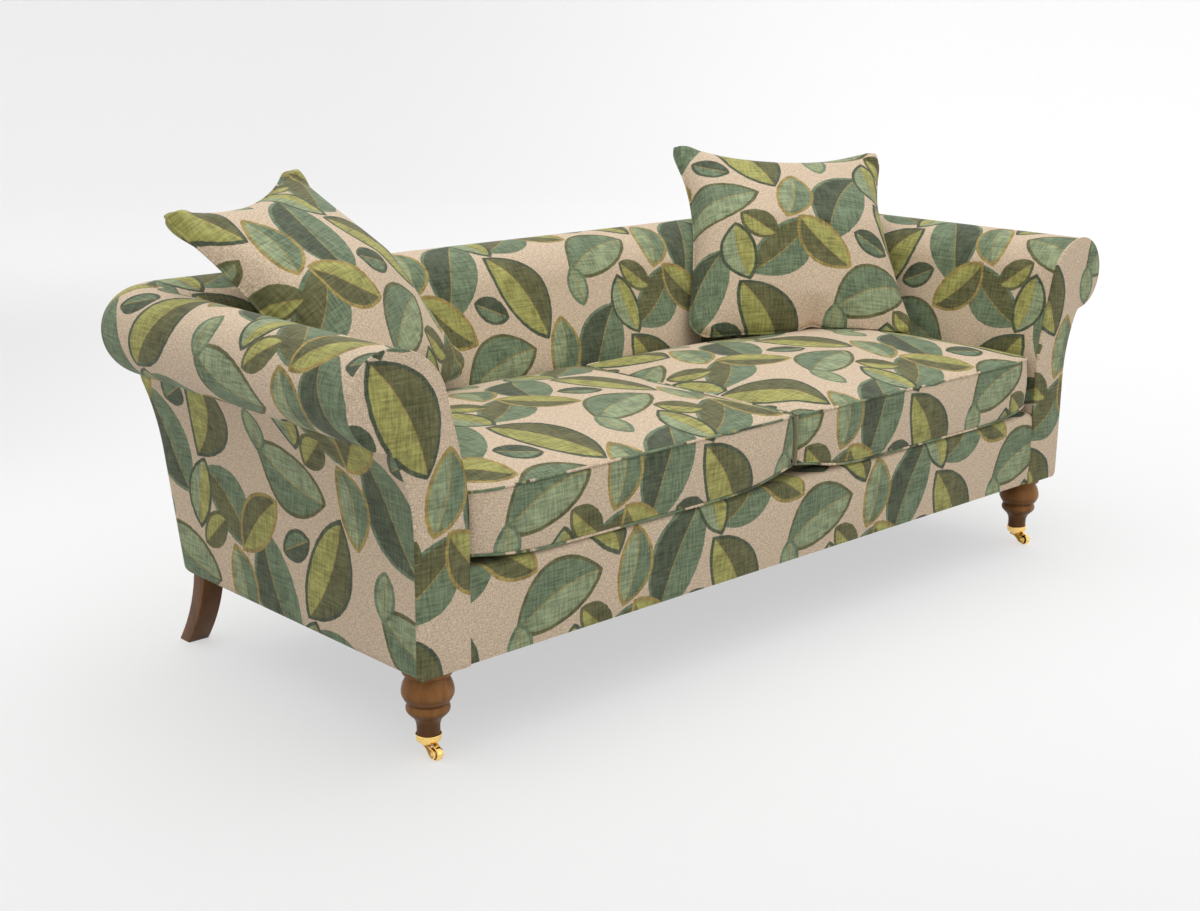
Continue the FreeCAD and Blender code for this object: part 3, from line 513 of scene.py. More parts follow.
    def make(self) -> bpy.types.Material:
        """Writes the material.

        Returns:
            The printed cloth.
        """
        recipe = Recipe("leaf_print_cloth")
        cloth = recipe.cloth_map()
        linen = self.linen(cloth)
        bare = self.spread(linen.weave * 0.6 + linen.fleck * 0.4, 0.41, 0.59, 0.0, 1.0)
        ground = recipe.mix(bare, linear(self.ground_dark), linear(self.ground_light))
        colour, printed = self.print_leaves(cloth, ground)
        dry = self.spread(linen.brushed, 0.40, 0.60, 0.58, 1.48)
        chalk = self.spread(linen.weave * 0.7 + linen.brushed * 0.3, 0.54, 0.66, 0.0, 0.42)
        inked = recipe.mix(1.0, colour, recipe.grey(dry), "MULTIPLY")
        inked = recipe.mix(chalk, inked, linear(self.chalk))
        colour = recipe.mix(printed, colour, inked)
        flecked = self.spread(linen.fleck, 0.3, 0.7, 0.86, 1.11)
        colour = recipe.mix(1.0, colour, recipe.grey(flecked), "MULTIPLY")
        recipe.bump(linen.weave + linen.fleck * 0.15, 0.3, 0.0005)
        return recipe.shade(
            Base_Color=colour,
            Roughness=0.86 - printed * 0.06,
            Specular_IOR_Level=0.2,
            Sheen_Weight=0.08,
            Sheen_Roughness=0.6,
        )


@dataclass(frozen=True)
class WalnutStain:
    """Stained and waxed walnut, its grain down the piece, with painted shade mixed in where the piece's own
    map says.
    """

    dark: tuple[int, int, int] = (108, 69, 35)
    middle: tuple[int, int, int] = (138, 93, 50)
    light: tuple[int, int, int] = (164, 114, 65)
    # painted shade: the dark brown that the legs' undersides and feet are darkened towards
    painted_shade: tuple[int, int, int] = (48, 31, 18)
    grain: float = 90.0

    def make(self) -> bpy.types.Material:
        """Writes the material.

        Returns:
            The finish.
        """
        recipe = Recipe("walnut_stain")
        place = recipe.place()
        warp = recipe.noise(recipe.stretch(place, (9.0, 9.0, 2.5)), 1.0, 2.0)
        fibres = recipe.noise(recipe.stretch(place, (self.grain, self.grain, 5.0)), 1.0, 4.0, 0.65)
        bands = recipe.noise(recipe.stretch(place, (30.0, 30.0, 2.0)), 1.0, 2.0)
        tone = fibres * 0.45 + bands * 0.35 + warp * 0.2
        stops = [(0.30, linear(self.dark)), (0.5, linear(self.middle)), (0.72, linear(self.light))]
        colour = recipe.add("ShaderNodeValToRGB", {"stops": stops}, {0: tone})
        # painted shade, mixed in as far as the piece's own map says
        colour = recipe.mix(recipe.age_and_shade(), colour, linear(self.painted_shade))
        recipe.bump(fibres, 0.12, 0.0008)
        return recipe.shade(
            Base_Color=colour,
            Roughness=0.32 + fibres * 0.16,
            Specular_IOR_Level=0.14,
            Coat_Weight=0.03,
            Coat_Roughness=0.2,
        )


@dataclass(frozen=True)
class PolishedBrass:
    """Lacquered brass with faint smudges, aged in its recesses."""

    colour: tuple[int, int, int] = (252, 219, 142)
    tarnish: tuple[int, int, int] = (222, 182, 102)
    aged: tuple[int, int, int] = (142, 108, 46)

    def make(self) -> bpy.types.Material:
        """Writes the material.

        Returns:
            The finish.
        """
        recipe = Recipe("polished_brass")
        smudge = recipe.noise(recipe.place(), 140.0, 3.0)
        colour = recipe.mix(smudge, linear(self.tarnish), linear(self.colour))
        colour = recipe.mix(recipe.age_and_shade(), colour, linear(self.aged))
        return recipe.shade(Base_Color=colour, Metallic=1.0, Roughness=0.10 + smudge * 0.14)


@dataclass(frozen=True)
class PlainFinish:
    """A finish of one family, mottled between two colours, with grain along one direction."""

    name: str
    dark: tuple[int, int, int]
    light: tuple[int, int, int]
    stretch: tuple[float, float, float]
    roughness: float
    metallic: float = 0.0
    relief: float = 0.0006

    def make(self) -> bpy.types.Material:
        """Writes the material.

        Returns:
            The finish.
        """
        recipe = Recipe(self.name)
        grain = recipe.noise(recipe.stretch(recipe.place(), self.stretch), 1.0, 3.0, 0.6)
        colour = recipe.mix(grain, linear(self.dark), linear(self.light))
        recipe.bump(grain, 0.3, self.relief)
        roughness = self.roughness + grain * 0.1
        return recipe.shade(Base_Color=colour, Roughness=roughness, Metallic=self.metallic)


FRAME_FINISHES = {
    Slot.TIMBER: PlainFinish("beech_frame", (176, 134, 92), (214, 178, 134), (60.0, 9.0, 60.0), 0.55),
    Slot.STEEL: PlainFinish("spring_steel", (96, 98, 100), (150, 152, 154), (300.0, 300.0, 300.0), 0.3, 1.0),
    Slot.FOAM: PlainFinish("cream_foam", (218, 206, 168), (238, 228, 196), (500.0, 500.0, 500.0), 0.9),
    Slot.WEBBING: PlainFinish("jute_webbing", (120, 98, 66), (186, 160, 116), (900.0, 900.0, 900.0), 0.85),
    Slot.LINING: PlainFinish("black_lining", (20, 20, 21), (44, 44, 46), (900.0, 900.0, 900.0), 0.9),
}


class Surface:
    """Points, faces and cloth coordinates gathered for one mesh."""

    def __init__(self) -> None:
        """Starts with nothing."""
        self.points: list[np.ndarray] = []
        self.faces: list[list[int]] = []
        self.uvs: list[np.ndarray] = []

    def grid(self, points: np.ndarray, cloth: np.ndarray, closed: bool = False) -> None:
        """Adds a grid of quads.

        Args:
            points: rows by columns by three.
            cloth: rows by columns by two, the cloth coordinates.
            closed: whether the last column joins the first.
        """
        rows, columns = points.shape[:2]
        base = len(self.points)
        self.points.extend(points.reshape(-1, 3))
        span = columns if closed else columns - 1
        for i in range(rows - 1):
            for j in range(span):
                k = (j + 1) % columns
                corners = [(i, j), (i, k), (i + 1, k), (i + 1, j)]
                self.faces.append([base + r * columns + c for r, c in corners])
                self.uvs.extend(cloth[r, c] for r, c in corners)

    def cap(self, loop: np.ndarray, flat: np.ndarray, cloth: np.ndarray | None = None) -> None:
        """Closes an end with a flat fan of triangles laid inside its outline.

        Args:
            loop: the outline's points.
            flat: the outline in its own plane.
            cloth: the outline's cloth coordinates, where they aren't the flat ones.
        """
        base = len(self.points)
        self.points.extend(loop)
        coordinates = flat if cloth is None else cloth
        corners = [Vector(c) for c in flat]
        _, _, triangles, origins, _, _ = delaunay_2d_cdt(corners, ring_edges(len(flat)), [], 1, 1e-7)
        where = [o[0] for o in origins]
        for triangle in triangles:
            self.faces.append([base + where[i] for i in triangle])
            self.uvs.extend(coordinates[where[i]] for i in triangle)

    def build(self, name: str, material: bpy.types.Material, crease: float = 40.0) -> bpy.types.Object:
        """Makes the object.

        Args:
            name: the piece's name.
            material: its finish.
            crease: edges sharper than this many degrees stay crisp.

        Returns:
            The object, at the origin.
        """
        mesh = bpy.data.meshes.new(name)
        mesh.from_pydata([tuple(p) for p in self.points], [], self.faces)
        layer = mesh.uv_layers.new(name=CLOTH_MAP)
        layer.data.foreach_set("uv", np.asarray(self.uvs, np.float32).ravel())
        tidy(mesh)
        mesh.shade_smooth()
        mesh.set_sharp_from_angle(angle=math.radians(crease))
        return add_object(name, mesh, material)


def face_outward(mesh: bpy.types.Mesh) -> None:
    """Turns a closed mesh's faces outward, where they all point inward.

    Args:
        mesh: the closed mesh.
    """
    work = bmesh.new()
    work.from_mesh(mesh)
    if work.calc_volume(signed=True) < 0:
        bmesh.ops.reverse_faces(work, faces=work.faces)
        work.to_mesh(mesh)
    work.free()


def tidy(mesh: bpy.types.Mesh, distance: float = 2e-5) -> None:
    """Merges a mesh's doubles, drops faces without area and turns its faces one way.

    Args:
        mesh: the mesh.
        distance: how near two points are to be one.
    """
    work = bmesh.new()
    work.from_mesh(mesh)
    bmesh.ops.remove_doubles(work, verts=work.verts, dist=distance)
    bmesh.ops.dissolve_degenerate(work, edges=work.edges, dist=distance / 2)
    bmesh.ops.recalc_face_normals(work, faces=work.faces)
    work.to_mesh(mesh)
    work.free()


def add_object(name: str, mesh: bpy.types.Mesh, material: bpy.types.Material | None) -> bpy.types.Object:
    """Links a mesh to the scene as an object with one finish.

    Args:
        name: the object's name.
        mesh: its mesh.
        material: its finish, if it has one yet.

    Returns:
        The object.
    """
    if material is not None:
        mesh.materials.clear()
        mesh.materials.append(material)
    piece = bpy.data.objects.new(name, mesh)
    bpy.context.scene.collection.objects.link(piece)
    return piece


def read_points(mesh: bpy.types.Mesh) -> np.ndarray:
    """The mesh's points as an array."""
    flat = np.empty(len(mesh.vertices) * 3, np.float64)
    mesh.vertices.foreach_get("co", flat)
    return flat.reshape(-1, 3)


def read_cloth(mesh: bpy.types.Mesh) -> np.ndarray:
    """The cloth coordinates of the mesh's face corners."""
    flat = np.empty(len(mesh.loops) * 2, np.float32)
    mesh.uv_layers[CLOTH_MAP].data.foreach_get("uv", flat)
    return flat.reshape(-1, 2)


def write_points(mesh: bpy.types.Mesh, points: np.ndarray) -> None:
    """Moves the mesh's points."""
    mesh.vertices.foreach_set("co", np.asarray(points, np.float32).ravel())
    mesh.update()


class PipingTree:
    """A node tree that sews a round self-piped bead along a seam."""

    def __init__(self) -> None:
        """Builds the tree once."""
        self.tree = bpy.data.node_groups.new("self_piping", "GeometryNodeTree")
        face = self.tree.interface
        face.new_socket("Seam", in_out="INPUT", socket_type="NodeSocketGeometry")
        self.radius = face.new_socket("Radius", in_out="INPUT", socket_type="NodeSocketFloat").identifier
        self.sides = face.new_socket("Sides", in_out="INPUT", socket_type="NodeSocketInt").identifier
        self.cover = face.new_socket("Cover", in_out="INPUT", socket_type="NodeSocketMaterial").identifier
        face.new_socket("Piping", in_out="OUTPUT", socket_type="NodeSocketGeometry")
        self.fill()

    def fill(self) -> None:
        """Adds the nodes: seam to curve, round profile, cloth coordinates, finish."""
        new = self.tree.nodes.new
        start = new("NodeGroupInput")
        end = new("NodeGroupOutput")
        curve = new("GeometryNodeMeshToCurve")
        ring = new("GeometryNodeCurvePrimitiveCircle")
        tube = new("GeometryNodeCurveToMesh")
        seam = new("GeometryNodeInputNamedAttribute")
        seam.data_type = "FLOAT_VECTOR"
        seam.inputs["Name"].default_value = SEAM_MAP
        store = new("GeometryNodeStoreNamedAttribute")
        store.data_type = "FLOAT2"
        store.domain = "CORNER"
        store.inputs["Name"].default_value = CLOTH_MAP
        smooth = new("GeometryNodeSetShadeSmooth")
        real = new("GeometryNodeRealizeInstances")
        dress = new("GeometryNodeSetMaterial")
        tube.inputs["Fill Caps"].default_value = True
        links = [
            (start, "Seam", curve, "Mesh"),
            (start, "Sides", ring, "Resolution"),
            (start, "Radius", ring, "Radius"),
            (curve, "Curve", tube, "Curve"),
            (ring, "Curve", tube, "Profile Curve"),
            (tube, "Mesh", store, "Geometry"),
            (seam, "Attribute", store, "Value"),
            (store, "Geometry", smooth, "Geometry"),
            (smooth, "Geometry", real, "Geometry"),
            (real, "Geometry", dress, "Geometry"),
            (start, "Cover", dress, "Material"),
            (dress, "Geometry", end, "Piping"),
        ]
        for source, output, target, socket in links:
            self.tree.links.new(source.outputs[output], target.inputs[socket])

    def sew(
        self,
        name: str,
        seam: np.ndarray,
        cloth: np.ndarray,
        radius: float,
        material: bpy.types.Material,
        sides: int = 10,
    ) -> bpy.types.Object:
        """Makes the bead along one seam.

        Args:
            name: the piece's name.
            seam: the seam's points, in a ring.
            cloth: cloth coordinates along the seam.
            radius: the bead's radius.
            material: the bead's finish.
            sides: faces round the bead.

        Returns:
            The bead as a plain mesh object.
        """
        mesh = bpy.data.meshes.new(name)
        mesh.from_pydata([tuple(p) for p in seam], ring_edges(len(seam)), [])
        attribute = mesh.attributes.new(SEAM_MAP, "FLOAT_VECTOR", "POINT")
        lifted = np.column_stack([cloth, np.zeros(len(seam))])
        attribute.data.foreach_set("vector", lifted.astype(np.float32).ravel())
        piece = add_object(name, mesh, None)
        modifier = piece.modifiers.new("piping", "NODES")
        modifier.node_group = self.tree
        modifier[self.radius] = radius
        modifier[self.sides] = sides
        modifier[self.cover] = material
        make_plain(piece)
        return piece


def hold_seams(mesh: bpy.types.Mesh, on_seam: np.ndarray) -> None:
    """Keeps the edges between seam points in place when the mesh is softened.

    Args:
        mesh: the sewn cover.
        on_seam: whether each point lies on a seam.
    """
    ends = np.empty(len(mesh.edges) * 2, np.int32)
    mesh.edges.foreach_get("vertices", ends)
    both = on_seam[ends.reshape(-1, 2)].all(axis=1)
    layer = mesh.attributes.new("crease_edge", "FLOAT", "EDGE")
    layer.data.foreach_set("value", both.astype(np.float32))


def soften(piece: bpy.types.Object, on_seam: np.ndarray) -> None:
    """Smooths a sewn cover once between its seams and turns it into a plain mesh.

    Args:
        piece: the cover.
        on_seam: whether each point lies on a seam.
    """
    hold_seams(piece.data, on_seam)
    modifier = piece.modifiers.new("soften", "SUBSURF")
    modifier.levels = 1
    modifier.render_levels = 1
    make_plain(piece)
    piece.data.shade_smooth()
    piece.data.set_sharp_from_angle(angle=math.radians(70))


def make_plain(piece: bpy.types.Object) -> None:
    """Turns a piece's modifiers into a plain mesh.

    Args:
        piece: the piece.
    """
    graph = bpy.context.evaluated_depsgraph_get()
    mesh = bpy.data.meshes.new_from_object(piece.evaluated_get(graph), depsgraph=graph)
    old = piece.data
    piece.modifiers.clear()
    piece.data = mesh
    bpy.data.meshes.remove(old)
    tidy(mesh)
    mesh.name = piece.name


def declare(piece: bpy.types.Object, body: str, slot: Slot, *nodes: str) -> bpy.types.Object:
    """Attaches a piece to the body that it moves with, and hides the nodes that it stands for.

    Args:
        piece: the piece.
        body: the body that it moves with.
        slot: its material slot; not used.
        nodes: the CAD nodes that it replaces.

    Returns:
        The piece.
    """
    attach(piece, body)
    if nodes:
        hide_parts(*nodes)
    LOG.info("%s rides on %s with %d faces", piece.name, body, len(piece.data.polygons))
    return piece


def tangent_arc(start: np.ndarray, direction: np.ndarray, end: np.ndarray, count: int) -> np.ndarray:
    """Points of the arc that leaves start along a direction and ends at end.

    Args:
        start: first point.
        direction: the way it leaves.
        end: last point.
        count: the number of points.

    Returns:
        The points, both ends among them.
    """
    chord = end - start
    along = direction / np.linalg.norm(direction)
    across = chord - along * chord.dot(along)
    across = across / np.linalg.norm(across)
    radius = chord.dot(chord) / (2 * chord.dot(across))
    centre = start + across * radius
    sweep = 2 * math.atan2(chord.dot(across), chord.dot(along))
    angles = np.linspace(0, sweep, count)[:, None]
    return centre - across * radius * np.cos(angles) + along * radius * np.sin(angles)


def inward(outline: np.ndarray) -> np.ndarray:
    """Unit vectors that point into a closed outline.

    Args:
        outline: the outline's points.

    Returns:
        One vector for each point.
    """
    ahead = np.roll(outline, -1, axis=0) - np.roll(outline, 1, axis=0)
    normal = np.column_stack([ahead[:, 1], -ahead[:, 0]])
    normal /= np.linalg.norm(normal, axis=1)[:, None]
    following = np.roll(outline, -1, axis=0)
    area = np.sum(outline[:, 0] * following[:, 1] - following[:, 0] * outline[:, 1])
    return -normal if area > 0 else normal


def smooth_loop(points: np.ndarray, steps: int = 3) -> np.ndarray:
    """A closed smooth line that follows a loop of points.

    Args:
        points: the loop.
        steps: the number of points for each one of the loop.

    Returns:
        The smooth line's points.
    """
    near = [np.roll(points, shift, axis=0) for shift in (1, 0, -1, -2)]
    rows = []
    for t in np.arange(steps) / steps:
        weights = [(1 - t) ** 3, 3 * t ** 3 - 6 * t ** 2 + 4, -3 * t ** 3 + 3 * t ** 2 + 3 * t + 1, t ** 3]
        rows.append(sum(weight * part for weight, part in zip(weights, near)) / 6)
    return np.stack(rows, axis=1).reshape(-1, points.shape[1])


@dataclass(frozen=True)
class ScrollOutline:
    """The section of an arm or of the back: run outwards from the corner's turning axis, and height."""

    inner: float
    lean: float
    knee: float
    knee_height: float
    foot: float
    base: float = 0.169
    upright_end: float = 0.400
    bend_foot: float = 0.410
    lean_start: float = 0.480
    lean_end: float = 0.665
    lean_ease: float = 0.050
    roll_centre: float = 0.082
    roll_radius: float = 0.082
    roll_height: float = 0.655
    foot_rise: float = 0.012
    foot_tuck: float = 0.006
    crease_depth: float = 0.007

    def inside_wall(self) -> np.ndarray:
        """The upright inside face and its lean, with the bend between them eased.

        Returns:
            Run and height, from the foot up.
        """
        upright = np.linspace(self.base, self.upright_end, 16)
        height = np.concatenate([upright, np.linspace(self.bend_foot, self.lean_end, 30)])
        past = height - self.lean_start
        bend = np.clip(past + self.lean_ease, 0, None) ** 2 / (4 * self.lean_ease)
        eased = np.where(past > self.lean_ease, past, bend)
        run = self.inner + self.lean * eased / (self.lean_end - self.lean_start)
        return np.column_stack([run, height])

    def sections(self) -> dict[str, np.ndarray]:
        """The outline in its named stretches, from the inside foot over the roll to the outside foot.

        Returns:
            The stretches by name, in order.
        """
        top = np.array([self.roll_centre, self.roll_height + self.roll_radius])
        neck = np.array([self.roll_centre, self.roll_height - self.roll_radius])
        wall = self.inside_wall()
        shoulder = tangent_arc(top, np.array([-1.0, 0.0]), wall[-1], 18)[::-1]
        angles = np.radians(np.linspace(90, -86, 46))
        roll = np.column_stack([
            self.roll_centre + self.roll_radius * np.cos(angles),
            self.roll_height + self.roll_radius * np.sin(angles),
        ])
        knee = np.array([self.knee, self.knee_height])
        slope = np.array([self.knee - self.foot, self.knee_height - self.base])
        waist = tangent_arc(knee, slope, neck, 20)[::-1]
        low = np.array([self.foot, self.base]) + slope * (self.foot_rise / slope[1])
        side = np.linspace(knee, low, 26)
        foot = np.array([self.foot - self.foot_tuck, self.base])
        toe = tangent_arc(low, -slope, foot, 4)
        under = np.linspace(foot, wall[0], 4)
        crease = neck + np.array([-self.crease_depth * 0.6, self.crease_depth * 0.5])
        return {
            "inside": np.vstack([wall, shoulder[1:], roll[1:]]),
            "crease": crease[None],
            "outside": np.vstack([waist[1:], side[1:], toe[1:], under[1:-1]]),
        }


@dataclass(frozen=True)
class Carcass:
    """The sewn covers over both arms and the back: swept scroll outlines, mitred at the rear corners.

    A cut says where on the cloth a panel was cut from, in metres.
    """

    cover: bpy.types.Material
    piping: PipingTree
    corner_x: float = 0.921
    corner_y: float = 0.296
    front_y: float = -0.452
    corner_softness: float = 0.018
    settle_run: float = 0.16
    round_run: float = 0.06
    seam_rise: tuple[float, float] = (0.011, 0.004)
    stations: int = 96
    arm_cut: float = 0.13
    outside_cut: float = 0.21
    under_cut: float = 0.10
    facing_cut: tuple[float, float] = (0.30, 0.085)
    facing_edge: tuple[tuple[float, float], ...] = (
        (0.0, 0.0),
        (0.0, 0.004),
        (0.0012, 0.0068),
        (0.004, 0.0080),
    )
    facing_dome: float = 0.0045
    dome_run: float = 0.05
    facing_cell: float = 0.008
    facing_gap: float = 0.005
    welt: float = 0.0026
    welt_forward: float = 0.0045
    arm: ScrollOutline = ScrollOutline(-0.071, 0.047, 0.039, 0.416, 0.039)
    back: ScrollOutline = ScrollOutline(-0.109, 0.07215, 0.074, 0.400, 0.014)

    def stretches(self) -> tuple[np.ndarray, np.ndarray, np.ndarray]:
        """Both outlines point by point, with the stretch that each point belongs to.

        Returns:
            The arm's points, the back's points, and 0, 1 or 2 for inside, crease and outside.
        """
        arm = self.arm.sections()
        back = self.back.sections()
        kind = np.concatenate([np.full(len(part), i) for i, part in enumerate(arm.values())])
        return np.vstack(list(arm.values())), np.vstack(list(back.values())), kind

    def mitre(self, arm: np.ndarray, back: np.ndarray, kind: np.ndarray) -> np.ndarray:
        """Where each point of the outlines meets the mitre seam, measured from the corner's axis.

        Args:
            arm: the arm's outline.
            back: the back's outline.
            kind: the stretch of each point.

        Returns:
            Run of the arm, run of the back and height.
        """
        mean = (arm[:, 0] + back[:, 0]) / 2
        blend = smoothstep(0.0, self.round_run, mean)[:, None]
        straight = np.column_stack([arm[:, 0], back[:, 0]])
        round_corner = np.column_stack([mean, mean]) * math.cos(EIGHTH_TURN)
        rolled = straight * (1 - blend) + round_corner * blend
        squared = straight - self.corner_softness * (1 - math.cos(EIGHTH_TURN))
        meeting = np.where((kind == 2)[:, None], squared, rolled)
        height = (arm[:, 1] + back[:, 1]) / 2
        first_outside = np.argmax(kind == 2)
        for step, rise in enumerate(self.seam_rise):
            height[first_outside + step] += rise
        return np.column_stack([meeting, height])

    def sweep(
        self,
        own: np.ndarray,
        meeting: np.ndarray,
        axis: int,
        length: float,
    ) -> tuple[np.ndarray, np.ndarray]:
        """Sweeps an outline straight along its piece and round to the mitre.

        Args:
            own: the outline's points, run and height.
            meeting: where each point meets the mitre.
            axis: 0 for the arm, whose run is across the sofa, and 1 for the back.
            length: distance from the corner's axis to the start of the sweep.

        Returns:
            Points as (run, along, height) by outline point and station, and the distance along.
        """
        turn = 1 - math.cos(EIGHTH_TURN)
        radius = np.clip((own[:, 0] - meeting[:, axis]) / turn, 0, None)
        straight = length + meeting[:, 1 - axis] - radius * math.sin(EIGHTH_TURN)
        total = straight + radius * EIGHTH_TURN
        share = np.linspace(0, 1, self.stations)
        distance = total[:, None] * share[None]
        past = np.clip(distance - straight[:, None], 0, None)
        angle = past / np.maximum(radius, 1e-9)[:, None]
        run = own[:, :1] - radius[:, None] * (1 - np.cos(angle))
        along = np.minimum(distance, straight[:, None]) - length + radius[:, None] * np.sin(angle)
        near = smoothstep(-self.settle_run, 0.0, distance - total[:, None])
        height = own[:, 1:] + (meeting[:, 2:] - own[:, 1:]) * near
        return np.stack([run, along, height], axis=-1), distance

    def close(
        self,
        name: str,
        points: np.ndarray,
        distance: np.ndarray,
        own: np.ndarray,
        kind: np.ndarray,
    ) -> bpy.types.Object:
        """Sews the swept outline into a closed form, its outside panel cut from its own cloth.

        Args:
            name: the piece's name.
            points: points by outline point and station.
            distance: the distance along the cloth of each.
            own: the outline.
            kind: the stretch that each point of the outline belongs to.

        Returns:
            The piece.
        """
        rows = run_along(own) + np.where(kind == 2, self.outside_cut, 0.0)
        cloth = np.stack([distance, np.broadcast_to(rows[:, None], distance.shape)], axis=-1)
        split = int(np.argmax(kind == 2))
        surface = Surface()
        surface.grid(points[: split + 1], np.concatenate([cloth[:split], cloth[split - 1:split]]))
        under = cloth[-1:] + np.array([0.0, self.under_cut])
        surface.grid(np.concatenate([points[split:], points[:1]]), np.concatenate([cloth[split:], under]))
        for end in (0, -1):
            surface.cap(points[:, end], own)
        return surface.build(name, self.cover)

    def build_arm(self, side: Side) -> bpy.types.Object:
        """One arm, from its facing to the mitre.

        Args:
            side: which arm.

        Returns:
            The arm's cover as one closed form.
        """
        arm, back, kind = self.stretches()
        meeting = self.mitre(arm, back, kind)
        local, distance = self.sweep(arm, meeting, 0, self.corner_y - self.front_y)
        points = np.empty_like(local)
        points[..., 0] = side.value * (self.corner_x + local[..., 0])
        points[..., 1] = self.corner_y + local[..., 1]
        points[..., 2] = local[..., 2]
        along = distance * side.value + self.arm_cut
        piece = self.close(side.label + "_arm_upholstery", points, along, arm, kind)
        names = [side.label + "_arm_cover", side.label + "_arm_padding"]
        declare(piece, BODY, Slot.CLOTH, *names)
        return piece

    def build_back(self) -> bpy.types.Object:
        """The back, from one mitre to the other.

        Returns:
            The back's cover as one closed form.
        """
        arm, back, kind = self.stretches()
        meeting = self.mitre(arm, back, kind)
        local, distance = self.sweep(back, meeting, 1, self.corner_x)
        right = np.empty_like(local)
        right[..., 0] = self.corner_x + local[..., 1]
        right[..., 1] = self.corner_y + local[..., 0]
        right[..., 2] = local[..., 2]
        left = right[:, :0:-1] * np.array([-1.0, 1.0, 1.0])
        points = np.concatenate([left, right], axis=1)
        along = np.concatenate([-distance[:, :0:-1], distance], axis=1)
        piece = self.close("back_upholstery", points, along, back, kind)
        names = ["inside_back_cover", "outside_back_cover", "back_padding"]
        declare(piece, BODY, Slot.CLOTH, *names)
        return piece

    def facing_outline(self) -> np.ndarray:
        """The arm's front outline, evenly spaced, as run and height.

        Returns:
            The outline's points.
        """
        parts = self.arm.sections()
        outline = np.vstack([parts["inside"], parts["outside"]])
        closed = np.vstack([outline, outline[:1]])
        steps = run_along(closed)
        even = np.linspace(0, steps[-1], 261)[:-1]
        return np.column_stack([np.interp(even, steps, closed[:, i]) for i in range(2)])

    def build_facing(self, side: Side) -> None:
        """The padded panel on the front of an arm, and the welt round it.

        Args:
            side: which arm.
        """
        outline = self.facing_outline()
        into = inward(outline)
        rings = [(outline + into * inset, rise) for inset, rise in self.facing_edge]
        surface = Surface()
        stack = np.stack([self.on_front(ring, rise, side) for ring, rise in rings])
        cloth = np.stack([self.facing_cloth(ring, side) for ring, _ in rings])
        surface.grid(stack, cloth, closed=True)
        self.fill_facing(surface, *rings[-1], side)
        surface.cap(self.on_front(outline, 0.0, side), outline)
        piece = surface.build(side.label + "_facing_panel", self.cover)
        declare(piece, BODY, Slot.CLOTH, side.label + "_arm_facing")
        seam = self.on_front(outline, self.welt_forward, side)
        cloth = self.facing_cloth(outline, side)
        bead = self.piping.sew(side.label + "_facing_welt", seam, cloth, self.welt, self.cover)
        declare(bead, BODY, Slot.CLOTH)

    def on_front(self, flat: np.ndarray, rise: float | np.ndarray, side: Side) -> np.ndarray:
        """Places points of the facing: flat run and height, and how far they stand forward."""
        x = side.value * (self.corner_x + flat[:, 0])
        y = np.broadcast_to(self.front_y - np.asarray(rise), x.shape)
        return np.column_stack([x, y, flat[:, 1]])

    def facing_cloth(self, flat: np.ndarray, side: Side) -> np.ndarray:
        """Cloth coordinates of the facing, straight up the warp."""
        return flat * np.array([side.value, 1.0]) + np.array(self.facing_cut)

    def fill_facing(self, surface: Surface, ring: np.ndarray, rise: float, side: Side) -> None:
        """Fills the facing inside its rounded edge with a slightly domed panel.

        Args:
            surface: what the panel is added to.
            ring: the panel's outline.
            rise: how far the outline stands forward.
            side: which arm.
        """
        lines = [np.arange(ring[:, i].min(), ring[:, i].max(), self.facing_cell) for i in range(2)]
        inner = np.stack(np.meshgrid(*lines), axis=-1).reshape(-1, 2)
        inner = inner[reach_to(inner, ring) > self.facing_gap]
        flat = [Vector(p) for p in np.vstack([ring, inner])]
        vertices, _, faces, _, _, _ = delaunay_2d_cdt(flat, ring_edges(len(ring)), [], 1, 1e-7)
        found = np.array([tuple(v) for v in vertices])
        dome = rise + self.facing_dome * smoothstep(0.0, self.dome_run, reach_to(found, ring))
        base = len(surface.points)
        surface.points.extend(self.on_front(found, dome, side))
        cloth = self.facing_cloth(found, side)
        for face in faces:
            surface.faces.append([base + i for i in face])
            surface.uvs.extend(cloth[i] for i in face)


